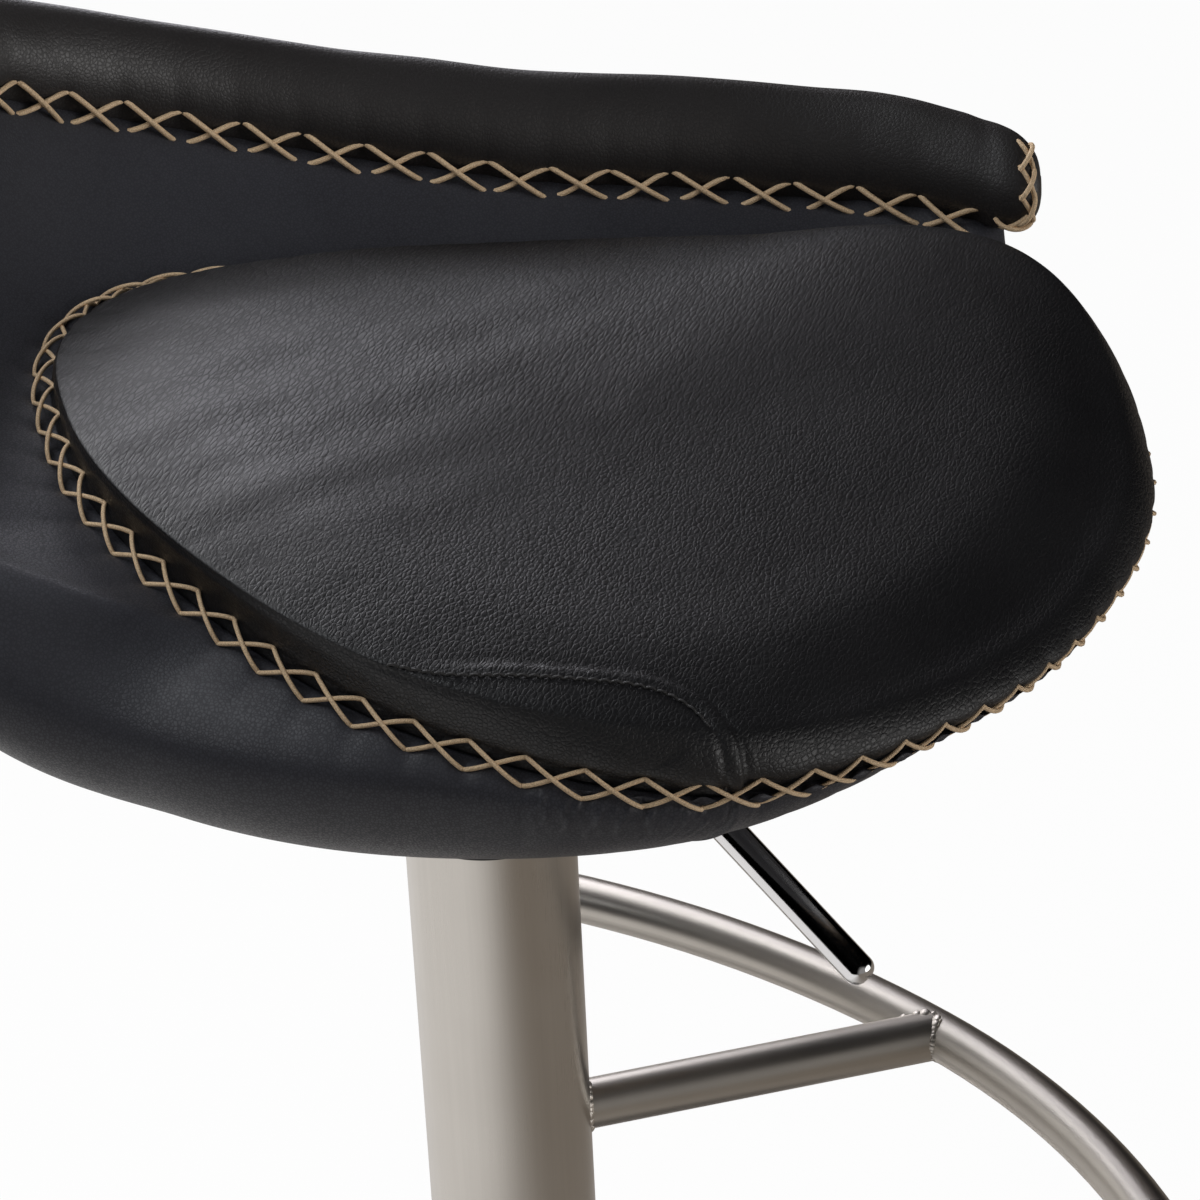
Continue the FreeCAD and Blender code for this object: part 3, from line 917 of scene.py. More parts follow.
@dataclass(frozen=True)
class Filling:
    """The foam under the leather, which swells in a cloth simulation."""

    pressure: float = 4.0
    frames: int = 20
    limit: float = 4.0
    share: float = 0.5
    stiffness: float = 40.0
    bending: float = 2.0
    damping: float = 4.0
    every_ring: int = 2
    calm: int = 3

    def swell(self, rows: Rows, start: Rows, end: Rows, held: Rows, columns: Rows) -> Rows:
        """Blows a coarse copy of a piece up and reads how its points moved.

        Args:
            rows: The piece's rings as (ring, column, 3).
            start: The point that closes the first ring.
            end: The point that closes the last ring.
            held: The share, 0 to 1, by which each ring stays put.
            columns: The columns that the coarse copy keeps.

        Returns:
            The movement of every point of rows, in millimetres.
        """
        rings = np.unique(np.r_[np.arange(0, len(rows), self.every_ring), len(rows) - 1])
        coarse = rows[np.ix_(rings, columns)]
        piece = closed_skin("swelling", coarse, start, end)
        group = piece.vertex_groups.new(name="held")
        weights = np.r_[np.repeat(held[rings], len(columns)), held[0], held[-1]]
        for number, weight in enumerate(weights):
            group.add([number], float(weight), "REPLACE")
        cloth = piece.modifiers.new("cloth", "CLOTH")
        settings = cloth.settings
        settings.use_pressure = True
        settings.uniform_pressure_force = self.pressure
        settings.tension_stiffness = settings.compression_stiffness = self.stiffness
        settings.bending_stiffness, settings.air_damping = self.bending, self.damping
        settings.vertex_group_mass = "held"
        settings.effector_weights.gravity = 0.0
        cloth.point_cache.frame_start, cloth.point_cache.frame_end = 1, self.frames
        scene = bpy.context.scene
        for number in range(1, self.frames + 1):
            scene.frame_set(number)
        grown = piece.evaluated_get(bpy.context.evaluated_depsgraph_get()).to_mesh()
        moved = np.empty(len(grown.vertices) * 3)
        grown.vertices.foreach_get("co", moved)
        moved = (moved.reshape(-1, 3)[:-2] / MM).reshape(coarse.shape) - coarse
        scene.frame_set(1)
        bpy.data.objects.remove(piece)
        far = np.linalg.norm(moved, axis=-1, keepdims=True)
        moved *= self.limit * np.tanh(far / self.limit) / np.maximum(far, 1e-6)
        moved = relaxed(moved, self.calm, 0.5).swapaxes(0, 1)
        moved = relaxed(moved, self.calm, 0.5, closed=True).swapaxes(0, 1)
        wide = np.concatenate([moved, moved[:, :1]], 1)
        marks = np.r_[columns, rows.shape[1]]
        spread = np.stack([[np.interp(np.arange(rows.shape[1]), marks, ring[:, k]) for ring in wide]
                           for k in range(3)], -1)
        return eased(rings, spread, np.arange(len(rows))) * self.share


@dataclass
class SeatCushion:
    """The grained leather cushion with its firm edge, dished top and sewn front panel."""

    rim: Rim
    seam_anchor: float = 211.5
    seam_pitch: float = 19.4
    crests: tuple[float, ...] = (18.5, 9, 9, 8, 19.5, 24, 25, 23, 17, 15, 23, 37)
    tops: tuple[float, ...] = (22, 15, 12, 14, 23, 28, 29, 28, 25, 24, 29, 35)
    bulges: tuple[float, ...] = (1, 0, -1.5, -2.5, -2, -2, 0, 2.5, 3, 3, 2.5, 1)
    shoulders: tuple[float, ...] = (0, -2.5, -5, -5.5, -2, 1, 0, -2, -4, -4, -5, -5)
    crest_insets: tuple[float, ...] = (9, 9, 11, 10, 7, 4, 6, 11, 16, 17, 17, 13)
    seam_inset: float = 1.0
    seam_sink: float = 0.2
    bulge_rise: float = 0.4
    shoulder_rise: float = 0.84
    top_inset: float = 42.0
    crown: float = 22.0
    level_rows: tuple[int, ...] = (11, 10, 12, 14, 9, 8, 7, 7)
    waves: float = 0.3
    wave_axis: tuple[float, float] = (0.5, 0.86)
    wave_span: tuple[float, float] = (-90.0, 60.0)
    wave_rise: tuple[float, float] = (2.6, 4.0)
    wave_fall: tuple[float, float] = (7.9, 6.5)
    fold_offset: float = 6.0
    fold_rise: float = 1.6
    fold_points: int = 400
    fold_taper: int = 170
    fold_level: float = 4.6
    fold_band: tuple[float, float] = (30.0, 2.0)
    fold_end: tuple[float, float] = (6.0, 0.5)
    fold_step: tuple[float, float] = (1.0, 1.4)
    stitch_dent: tuple[float, float] = (1.5, 0.7)
    edge_dent: tuple[float, float, float] = (2.0, 1.3, 0.5)
    panel_points: int = 240
    panel_probe: tuple[float, float] = (0.4, 0.03)
    last_level: float = 7.95
    under_inset: float = 9.0
    under_lift: float = 0.3
    fine_part: tuple[float, float] = (174.0, 216.0)
    held_levels: tuple[float, float] = (2.4, 4.2)
    cloth_step: float = 2.4
    filling: Filling = Filling()
    pucker: Pucker = Pucker()
    panel_edge: tuple[tuple[float, float], ...] = (
        (178, 2.6), (182, 2.78), (188.6, 3.16), (196.1, 3.32), (202.3, 3.38), (206.3, 3.28), (209, 3.0),
        (210.3, 2.1), (210.7, 1.4), (210.8, 0.5), (210.9, 0.1))

    def surface(self, angles: Rows, levels: Rows) -> Rows:
        """Gives the cushion's smooth form.

        Args:
            angles: Directions from the seat's centre.
            levels: 0 at the seam, 1 at the bulge, 2 at the shoulder, 3 at the crest, 4 on the top,
                8 at the middle.

        Returns:
            Points as (level, angle, 3).
        """
        rim = self.rim.radius(angles)
        crest, top = around(self.crests, angles), around(self.tops, angles)
        inner = [(share, share ** 2) for share in (1.0, 0.75, 0.5, 0.25, 0.0)]
        radii = np.stack([rim - self.seam_inset, rim + around(self.bulges, angles),
                          rim + around(self.shoulders, angles), rim - around(self.crest_insets, angles)]
                         + [(rim - self.top_inset) * r for r, _ in inner])
        dip = self.rim.dip(angles)
        lifts = np.stack([-self.seam_sink - self.rim.seam_dip(angles)]
                         + [crest * rise - dip for rise in (self.bulge_rise, self.shoulder_rise, 1.0)]
                         + [self.crown + (top - self.crown) * z for _, z in inner])
        stations = range(len(radii))
        return self.rim.point(np.broadcast_to(angles, (len(levels), len(angles))),
                              eased(stations, radii, levels), eased(stations, lifts, levels))

    def seam(self) -> Seam:
        """Gives the stitched seam round the cushion.

        Returns:
            The seam, closed on itself.
        """
        angles = np.linspace(0.0, 360.0, 1441)
        path = self.rim.point(angles, self.rim.radius(angles), -self.rim.seam_dip(angles))
        return Seam(angles, path, self.seam_pitch, self.seam_anchor, True)

    def build(self, finish: bpy.types.Material) -> bpy.types.Object:
        """Builds the cushion.

        Args:
            finish: Its leather.

        Returns:
            The cushion as one closed mesh.
        """
        angles = ring_angles(*self.fine_part)
        levels = [k + np.arange(n) / n for k, n in enumerate(self.level_rows)]
        levels = np.concatenate(levels + [[self.last_level]])
        rows = self.surface(angles, levels)
        under = self.rim.point(angles, self.rim.radius(angles) - self.under_inset,
                               self.under_lift - self.rim.seam_dip(angles))
        rows = np.concatenate([under[None], rows])
        base = self.rim.middle(self.under_lift)
        crown = base + UP * (self.crown - self.under_lift)
        held = np.r_[1.0, 1.0 - fade(levels, *self.held_levels)]
        columns = np.searchsorted(angles, np.arange(0.0, 358.0, self.cloth_step))
        rows = rows + self.filling.swell(rows, base, crown, held, columns)
        crown = rows[-1].mean(0) + UP * 0.02
        normals = facing(rows)
        lengths = np.linalg.norm(np.diff(rows[1:], axis=0), axis=2)
        distance = np.r_[np.zeros((2, len(angles))), np.cumsum(lengths, 0)]
        lift = self.pucker.lift(distance, self.seam().phase(angles)[None])
        lift[0] = 0
        waving = fade(levels, *self.wave_rise) * fade(levels, *self.wave_fall)
        lift[1:] += self._waves(rows[1:]) * waving[:, None]
        lift[1:] += self._fold(rows[1:], angles, levels)
        rows = rows + normals * lift[..., None]
        return closed_skin("seat_cushion", rows, base, crown, finish)

    def _waves(self, rows: Rows) -> Rows:
        """Gives the soft folds that the hide draws over the rear of the seat.

        Args:
            rows: The cushion's rings from the seam up.

        Returns:
            The height over the smooth form, in millimetres.
        """
        x, y = rows[..., 0], rows[..., 1]
        across = x * self.wave_axis[0] + y * self.wave_axis[1]
        bend = 9.0 * np.sin(x / 47.0) + 6.0 * np.sin(y / 31.0 + 1.0)
        folds = np.sin((across + bend) / 6.5) * 0.6 + np.sin((across * 1.7 - bend) / 7.7 + 2.0) * 0.4
        return folds * self.waves * fade(y, *self.wave_span)

    def _fold(self, rows: Rows, angles: Rows, levels: Rows) -> Rows:
        """Gives the height of the side band's folded edge and of the dent along its stitches.

        Args:
            rows: The cushion's rings from the seam up.
            angles: Each column's direction.
            levels: Each ring's level.

        Returns:
            The height over the smooth form, in millimetres.
        """
        path, along, out = self.panel_path(self.fold_points)
        side = np.cross(along, out)
        taper = fade(np.arange(self.fold_points), 0, self.fold_taper)
        lift, low = np.zeros(rows.shape[:2]), levels < self.fold_level
        edge, (before, after) = -self.fold_offset, self.fold_step
        (width, depth), (aside, edge_width, edge_depth) = self.stitch_dent, self.edge_dent
        for column in np.flatnonzero((angles > self.fine_part[0]) & (angles < self.fine_part[1])):
            spots = rows[low, column]
            gap = np.linalg.norm(spots[:, None] - path[None], axis=2)
            near = gap.argmin(1)
            off = np.einsum("ij,ij->i", spots - path[near], side[near])
            beyond = np.sqrt(np.maximum(gap.min(1) ** 2 - off ** 2, 0.0))
            rise = fade(off, edge - before, edge + after) * fade(off, *self.fold_band) * self.fold_rise
            dent = (np.exp(-((off / width) ** 2)) * depth
                    + np.exp(-(((off - edge + aside) / edge_width) ** 2)) * edge_depth)
            lift[low, column] = (rise - dent) * taper[near] * fade(beyond, *self.fold_end)
        return lift

    def panel_path(self, count: int) -> tuple[Rows, Rows, Rows]:
        """Follows the black stitches along the side band's folded edge.

        Args:
            count: How many points.

        Returns:
            Points, directions along the stitches and directions out of the leather.
        """
        stations = np.asarray(self.panel_edge)
        steps = np.linspace(0, len(stations) - 1, self.panel_points)
        spots = eased(np.arange(len(stations)), stations, steps)
        path, beside, above = (
            np.array([self.surface(np.array([a + aside]), np.array([l + up]))[0, 0] for a, l in spots])
            for aside, up in ((0.0, 0.0), (self.panel_probe[0], 0.0), (0.0, self.panel_probe[1])))
        run = run_along(path)
        even = np.linspace(0.0, run[-1], count)
        out = unit(np.cross(beside - path, above - path))
        path, out = (read_along(even, run, rows) for rows in (path, out))
        path = relaxed(path[:, None], 8, 0.5)[:, 0]
        along = unit(np.gradient(path, axis=0))
        return path, along, out


@dataclass
class BackRoll:
    """The dark stuffed roll along the top of the back, from its blunt tip to its tail."""

    rim: Rim
    stations: tuple[tuple[float, float, float], ...] = (
        (-19.3, 237.6, -8.9), (-14.5, 232, -6.5), (-9.5, 226, -5.1), (-3.5, 218, -4), (3.5, 210, -0.5),
        (10.5, 202, 4), (19, 194, 9), (27, 191.5, 14), (35, 194, 21), (46, 203, 31), (60, 222, 50),
        (71, 238, 70), (81, 249, 91), (95, 261, 111), (110, 264, 102), (120, 262, 80), (128, 257, 52))
    tip: tuple[tuple[float, float, float, float], ...] = (
        (-26.2, 245.4, -12.6, .3), (-26, 245.2, -12.5, .47), (-25.4, 244.5, -12.4, .68),
        (-24.3, 243.2, -12, .86), (-22.8, 241.4, -11.4, .96), (-21.2, 239.6, -10.7, .99))
    tail: tuple[tuple[float, float, float, float], ...] = (
        (133, 252, 37, .92), (137, 248, 31, .74), (139.5, 246, 29, .5), (140.5, 245, 28, .25))
    depth: float = 36.0
    height: float = 44.0
    overhang: float = 4.0
    side_bow: float = 6.4
    side_share: float = 0.84
    top_in: float = 0.55
    top_out: float = 0.62
    end_rise: float = 0.5
    end_turn: float = 6.0
    end_span: tuple[float, float] = (-10.0, -21.0)
    gap: float = 0.3
    side_points: tuple[int, ...] = (12, 18, 14, 18)
    taper: float = 0.06
    depth_taper: float = 0.2
    taper_from: float = -4.0
    taper_to: float = -20.0
    seam_anchor: float = 96.0
    seam_pitch: float = 25.0
    seam_from: float = -21.6
    seam_to: float = 137.0
    face_from: int = 44
    rounding: int = 7
    filling: Filling = Filling(limit=2.5)
    pucker: Pucker = Pucker(hole=5.6, spread=3.4, depth=1.1, swell=0.9, reach=18.0)

    def size_at(self, angles: Rows) -> tuple[Rows, Rows]:
        """Gives the roll's height and depth, which taper towards its tip."""
        tapered = fade(angles, self.taper_from, self.taper_to)
        return self.height * (1 - self.taper * tapered), self.depth * (1 - self.depth_taper * tapered)

    def line(self, angles: Rows) -> tuple[Rows, Rows, Rows]:
        """Reads the roll's stations.

        Args:
            angles: Where to read.

        Returns:
            The inner seam's radius, its lift and the section's share of its full size.
        """
        table = np.array(self.tip + tuple((*s, 1.0) for s in self.stations) + self.tail)
        radius, lift, size = eased(table[:, 0], table[:, 1:], angles).T
        return radius, lift, size

    def sections(self, angles: Rows) -> Rows:
        """Gives the roll's sections.

        Args:
            angles: Where the sections stand.

        Returns:
            Points as (angle, point, 3), each section from its inner foot over the outer side.
        """
        radius, lift, size = self.line(angles)
        height, depth = self.size_at(angles)
        low = self.rim.height + lift + self.gap + height * (1 - size) * self.end_rise
        high = low + height * size * self.side_share
        middle, half = radius + depth / 2, depth / 2 * size
        out = self.rim.out(angles)

        def at(radial: Rows, height: Rows) -> Rows:
            """Puts a section's corner in the frame."""
            return self.rim.at_height(angles, radial, height)

        inner = at(middle - half + self.overhang * size, low)
        outer = at(middle + half - self.overhang * size, low)
        top_in, top_out = at(middle - half * self.top_in, high), at(middle + half * self.top_out, high)
        bulge = out * (self.side_bow * size * 2)[:, None]
        crown = UP * (height * (1 - self.side_share) * size * 2)[:, None]
        under, outside, over, inside = self.side_points
        rows = (bow(inner, (inner + outer) / 2, outer, under)
                + bow(outer, (outer + top_out) / 2 + bulge, top_out, outside)
                + bow(top_out, (top_out + top_in) / 2 + crown, top_in, over)
                + bow(top_in, (top_in + inner) / 2 - bulge, inner, inside))
        rows = relaxed(np.stack(rows), self.rounding, 0.5, closed=True).transpose(1, 0, 2)
        centre = self.rim.at_height(angles, radius * 0, 0.0)[:, None]
        reach = np.einsum("ijk,ik->ij", rows - centre, out)
        share = np.clip((reach - radius[:, None]) / depth[:, None], 0.0, 1.0)
        turn = np.radians(self.end_turn) * fade(angles, *self.end_span)[:, None] * share
        x, y = rows[..., 0].copy(), rows[..., 1] - self.rim.centre_y
        rows[..., 0] = x * np.cos(turn) - y * np.sin(turn)
        rows[..., 1] = x * np.sin(turn) + y * np.cos(turn) + self.rim.centre_y
        return rows

    def seam(self) -> Seam:
        """Gives the seam under the roll's inner face.

        Returns:
            The seam, from the tip to the tail.
        """
        angles = np.linspace(self.seam_from, self.seam_to, 900)
        radius, lift, _ = self.line(angles)
        path = self.rim.at_height(angles, radius + self.overhang, self.rim.height + lift)
        return Seam(angles, path, self.seam_pitch, self.seam_anchor, False)

    def build(self, finish: bpy.types.Material) -> bpy.types.Object:
        """Builds the roll.

        Args:
            finish: Its leather.

        Returns:
            The roll as one closed mesh.
        """
        first, last = self.tip[0][0], self.tail[-1][0]
        angles = np.r_[np.arange(first, -21.0, 0.12), np.arange(-21.0, 128.0, 0.42),
                       np.arange(128.0, last, 0.25), last]
        rows = self.sections(angles)
        ends = [rows[0].mean(0), rows[-1].mean(0)]
        held = 1 - np.minimum(fade(angles, first, -17.0), fade(angles, last, 132.0))
        rows = rows + self.filling.swell(rows, *ends, held, np.arange(0, rows.shape[1], 2))
        normals = facing(rows)
        sides = np.linalg.norm(rows - np.roll(rows, -1, 1), axis=2)
        from_foot = np.cumsum(sides[:, ::-1], 1)[:, ::-1]
        lift = self.pucker.lift(from_foot, self.seam().phase(angles)[:, None])
        lift *= (np.arange(rows.shape[1]) > self.face_from)[None]
        inward = np.sign(np.einsum("ijk,ijk->ij", normals, rows - rows.mean(1, keepdims=True)).mean())
        rows = rows + normals * (inward * lift)[..., None]
        return closed_skin("back_bolster", rows, *ends, finish)


@dataclass
class ShellSkin:
    """The smooth leather of the bucket: the ledge or back's inner panel, the outside and the bowl."""

    rim: Rim
    roll: BackRoll
    cushion: SeatCushion
    ledges: tuple[float, ...] = (90, 71, 90, 95, 98, 58, 16, 4, -1, -2, 1, 22)
    fullness: tuple[float, ...] = (0.9, 0.86, 0.86, 0.9, 1.28, 1.04, 0.98, 1.24, 1.4, 1.3, 1.0, 0.95)
    hollow: float = 0.42
    swell: float = 0.14
    slumps: tuple[float, ...] = (0.02, 0.04, 0.17, 0.45)
    slump_turn: float = 0.75
    floor_height: float = 556.0
    floor_radius: float = 108.0
    floor_y: float = -14.0
    board_radius: float = 96.6
    board_top: float = 570.6
    rows: int = 112
    roundness: int = 160
    wrinkle: float = 0.35
    creases: tuple[tuple[float, float, float], ...] = (
        (0.62, 0.35, 0.4), (0.91, -0.25, 2.1), (1.37, 0.15, 4.0))
    crease_part: tuple[float, ...] = (186.0, 197.0, 207.0, 216.0)
    crest_tuck: float = 4.0
    bowl_rings: int = 40
    outside_rows: int = 90
    gather: float = 1.25
    own_seam: float = 211.4
    fine_part: tuple[float, float] = (180.0, 218.0)
    wall_tip: tuple[float, float] = (-26.0, -18.0)
    wall_tail: tuple[float, float] = (156.0, 128.0)
    lid_inset: float = 10.0
    lid_lift: float = -2.2
    pucker: Pucker = Pucker(hole=4.8, spread=3.4, depth=1.3, swell=1.0, reach=15.0)

    def floor_ring(self, angles: Rows, radius: float, height: float) -> Rows:
        """Gives a ring about the seat board's middle.

        Args:
            angles: Directions of its points.
            radius: Its radius.
            height: Its height over the floor.

        Returns:
            One point for each angle.
        """
        ring = self.rim.at_height(angles, np.full_like(angles, radius), height)
        ring[:, 1] += self.floor_y - self.rim.centre_y
        return ring

    def sections(self, angles: Rows) -> Rows:
        """Gives the skin's sections from the seat's seam to the shell's floor.

        Args:
            angles: Directions from the seat's centre.

        Returns:
            Points as (row, angle, 3).
        """
        rim, ledge = self.rim.radius(angles), around(self.ledges, angles)
        turn = (angles + 110.0) % 360.0 - 110.0
        wall = (fade(turn, *self.wall_tip) * fade(turn, *self.wall_tail))[:, None]
        radius, lift, _ = self.roll.line(np.clip(turn, self.roll.tip[-2][0], self.roll.tail[0][0]))
        crest, depth = self.rim.height + lift + self.crest_tuck, self.roll.size_at(turn)[1]
        out = self.rim.out(angles)

        def flat(radial: Rows, drop: float) -> Rows:
            """Gives a ring near the sloping plane."""
            return self.rim.point(angles, radial, drop)

        dip = self.rim.seam_dip(angles)
        seam = flat(rim - 1.5, -0.8 - dip)
        foot = flat(rim + np.clip(ledge + 3.0, 1.5, 4.0), -0.3 - dip)
        drops = [share * np.maximum(ledge, 0.0) for share in self.slumps]
        inner = flat(rim + np.minimum(ledge * 0.25, 4.0 + ledge * 0.06), -0.4 - drops[0])
        inner = inner + (self.rim.at_height(angles, radius + self.roll.overhang, crest) - inner) * wall
        start = rim + np.minimum(ledge * 0.35, 4.5 + ledge * 0.12)
        outer = flat(start, -0.8 - drops[1])
        hem = self.rim.at_height(angles, radius + depth - self.roll.overhang, crest)
        outer = outer + (hem - outer) * wall
        edge = rim + ledge
        edge = edge + (np.maximum(edge, radius + depth - 2 * self.roll.overhang) - edge) * wall[:, 0]
        top = flat(edge, -drops[3] * (1 - wall[:, 0]))
        chord = (foot + inner) / 2
        sag = (chord[:, 2] - self.rim.height - self.rim.slope * chord[:, 1]) * self.hollow
        back_swell = out * ((outer[:, 2] - top[:, 2]) * self.swell * 2)[:, None]
        turn_at = (outer + top) / 2 + back_swell
        slump = flat(start + (edge - start) * self.slump_turn, -0.8 - drops[2])
        turn_at = turn_at + (slump - turn_at) * (1 - wall)
        floor = self.floor_ring(angles, self.floor_radius, self.floor_height)
        full = around(self.fullness, angles)[:, None]
        bowl = []
        for level in np.radians(np.linspace(4.0, 90.0, self.bowl_rings)):
            ring = floor + (top - floor) * np.cos(level) ** full
            ring[:, 2] = (top + (floor - top) * np.sin(level) ** full)[:, 2]
            bowl.append(ring)
        outside = even_rows(np.stack(bow(outer, turn_at, top, 14) + bowl), self.outside_rows, 1.0)
        outside = relaxed(outside, self.roundness, 0.5 * np.clip(ledge / 60.0, 0.06, 1.0))
        rows = ([seam] + bow(foot, chord - UP * (2 * sag)[:, None], inner, 24)
                + bow(inner, (inner + outer) / 2, outer, 8) + list(outside))
        rows = even_rows(np.stack(rows), self.rows, self.gather)
        return relaxed(rows, 10, 0.5 - 0.3 * wall)

    def build(self, finish: bpy.types.Material) -> bpy.types.Object:
        """Builds the skin.

        Args:
            finish: Its leather.

        Returns:
            The skin as one closed mesh.
        """
        angles = ring_angles(*self.fine_part)
        rows = self.sections(angles)
        normals = facing(rows)
        normals *= np.sign(np.einsum("ij,ij->", normals[-30], self.rim.out(angles)))
        lengths = np.linalg.norm(np.diff(rows, axis=0), axis=2)
        distance = np.r_[np.zeros((1, len(angles))), np.cumsum(lengths, 0)]
        seam = self.cushion.seam()
        lift = self.pucker.lift(distance, seam.phase(angles)[None]) + self._creases(distance, angles, seam)
        rows = rows + normals * lift[..., None]
        lid = self.rim.point(angles, self.rim.radius(angles) - self.lid_inset,
                             self.lid_lift - self.rim.seam_dip(angles))
        pocket = [self.floor_ring(angles, self.board_radius, h) for h in (self.floor_height, self.board_top)]
        rows = np.concatenate([lid[None], rows, np.stack(pocket)])
        return closed_skin("shell_skin", rows, self.rim.middle(self.lid_lift),
                           np.array([0.0, self.floor_y, self.board_top]), finish)

    def _creases(self, distance: Rows, angles: Rows, seam: Seam) -> Rows:
        """Gives the fine creases under the front stitches and the shell's own upright seam.

        Args:
            distance: How far each point lies from the seat's seam.
            angles: Each column's direction.
            seam: The seat's seam.

        Returns:
            The height over the smooth form, in millimetres.
        """
        run = np.interp(angles, seam.angles, seam.length)[None]
        folds = sum(np.cos((run + lean * distance) / wave + turn) for wave, lean, turn in self.creases)
        begin, full, fall, end = self.crease_part
        where = fade(angles, begin, full) * fade(angles, end, fall)
        near = fade(distance, 4.0, 9.0) * fade(distance, 30.0, 10.0)
        off = run - np.interp(self.own_seam, seam.angles, seam.length)
        joint = 0.6 * np.exp(-((off - 2.2) / 1.6) ** 2) - 1.0 * np.exp(-(off / 0.9) ** 2)
        reach = fade(distance, 3.0, 8.0) * fade(distance, 90.0, 50.0)
        return np.maximum(folds, 0.0) * self.wrinkle * where * near + joint * reach


@dataclass
class Upholstery:
    """The whole seat: cushion, skin, roll and their sewing."""

    rim: Rim = field(default_factory=Rim)
    hide: Leather = GRAINED_HIDE
    smooth_hide: Leather = SMOOTH_HIDE
    roll_hide: Leather = Leather("roll_hide", (0.016, 0.014, 0.014), (0.034, 0.031, 0.031), 1.6, 0.10, 0.38)
    cord: Thread = Thread("waxed_cord", (0.94, 0.70, 0.44), (0.58, 0.40, 0.24))
    black_thread: Thread = Thread("black_thread", (0.035, 0.033, 0.033), (0.012, 0.011, 0.011))
    seat_holes: tuple[float, float] = (7.0, 6.2)
    roll_holes: tuple[float, float] = (6.0, 8.0)
    panel_rows: int = 60
    tip_edge: tuple[float, float] = (-24.9, -25.35)
    tip_lengths: tuple[float, ...] = (9.0, 20.0, 31.0)
    tip_corner: tuple[float, ...] = (-22.9, -23.4, -23.9)
    corner_length: float = 4.0
    panel_count: int = 36

    def __post_init__(self) -> None:
        """Makes the three leather parts."""
        self.cushion = SeatCushion(self.rim)
        self.roll = BackRoll(self.rim)
        self.skin = ShellSkin(self.rim, self.roll, self.cushion)

    def _framed(self, seam: Seam, lengths: Rows, lower: Rows, upper: Rows,
                toward: Rows) -> tuple[Rows, Rows, Rows]:
        """Stands stitches across a seam between the two leathers that they hold.

        Args:
            seam: The seam.
            lengths: Where the threads cross.
            lower: The holes' line in the lower leather at those places.
            upper: The holes' line in the upper leather.
            toward: A direction out of the leather.

        Returns:
            Points, directions along the seam and directions out of the leather.
        """
        along = seam.heading(lengths)
        out = np.cross(along, unit(upper - lower))
        out *= np.sign(np.einsum("ij,ij->i", out, toward))[:, None]
        return (upper + lower) / 2, along, out

    def seat_stitches(self, finish: bpy.types.Material) -> bpy.types.Object:
        """Sews the cushion to the skin with crossed cord.

        Args:
            finish: The thread's material.

        Returns:
            The stitches as one plain mesh.
        """
        seam = self.cushion.seam()
        lengths = seam.crossings()
        angles = np.interp(lengths, seam.length, seam.angles)
        skin = self.skin.sections(angles % 360.0)
        side = self.cushion.surface(angles, np.linspace(0, 2, 41))
        lower, upper = (np.stack([self._at_length(face[:, k], hole) for k in range(len(angles))])
                        for face, hole in zip((skin, side), self.seat_holes))
        frames = self._framed(seam, lengths, lower, upper, self.rim.out(angles) + UP)
        row = StitchRow("seat_stitching", StitchKind.CROSS, seam.step * 1.03, 9.6, 1.65, rise=0.9)
        return row.lay(*frames, finish)

    def roll_stitches(self, finish: bpy.types.Material) -> bpy.types.Object:
        """Sews the roll to the back's inner panel with crossed cord.

        Args:
            finish: The thread's material.

        Returns:
            The stitches as one plain mesh.
        """
        seam = self.roll.seam()
        lengths = seam.crossings()
        angles = np.interp(lengths, seam.length, seam.angles)
        skin, roll = self.skin.sections(angles % 360.0), self.roll.sections(angles)
        lower, upper = [], []
        for k in range(len(angles)):
            face = np.vstack([roll[k, :1], roll[k, :self.roll.face_from:-1]])
            upper.append(self._at_length(face, self.roll_holes[1]))
            panel = skin[:self.panel_rows, k]
            top = np.linalg.norm(panel - roll[k, 0], axis=1).argmin()
            lower.append(self._at_length(panel[:top + 1][::-1], self.roll_holes[0]))
        toward = UP * 0.4 - self.rim.out(angles)
        frames = self._framed(seam, lengths, np.stack(lower), np.stack(upper), toward)
        row = StitchRow("roll_stitching", StitchKind.CROSS, seam.step * 1.1, 13.0, 2.2, rise=1.1, flat=1.0)
        return row.lay(*frames, finish)

    def tip_stitches(self, finish: bpy.types.Material) -> bpy.types.Object:
        """Sews the roll's end cap in with smaller crosses up the edge of its blunt tip.

        Args:
            finish: The thread's material.

        Returns:
            The stitches as one plain mesh.
        """
        edge, beyond = (rows[::-1] for rows in self.roll.sections(np.array(self.tip_edge)))
        points, ahead = (np.stack([self._at_length(edge, length + more) for length in self.tip_lengths])
                         for more in (0.0, 3.0))
        out = unit(unit(points - edge.mean(0)) + unit((beyond - edge).mean(0)) * 0.8)
        turns = [rows[::-1] for rows in self.roll.sections(np.array(self.tip_corner))]
        corner = np.stack([self._at_length(rows, self.corner_length) for rows in turns])
        points = np.vstack([points, corner[1]])
        ahead = np.vstack([ahead, corner[1] + corner[2] - corner[0]])
        out = np.vstack([out, unit(corner[1] - turns[1].mean(0))])
        row = StitchRow("tip_stitching", StitchKind.CROSS, 13.0, 6.0, 2.0, rise=0.7, sink=1.6)
        return row.lay(points, unit(ahead - points), out, finish)

    def panel_stitches(self, finish: bpy.types.Material) -> bpy.types.Object:
        """Sews the side band's folded edge with small black stitches.

        Args:
            finish: The thread's material.

        Returns:
            The stitches as one plain mesh.
        """
        points, along, out = self.cushion.panel_path(self.panel_count)
        rise = (self.cushion.fold_rise - 0.5) * fade(np.arange(self.panel_count), 0, 15)[:, None]
        row = StitchRow("panel_stitching", StitchKind.RUNNING, 4.2, 0.0, 1.1, rise=0.6, sink=0.5,
                        facets=6, bends=6)
        return row.lay(points + out * rise, along, out, finish)

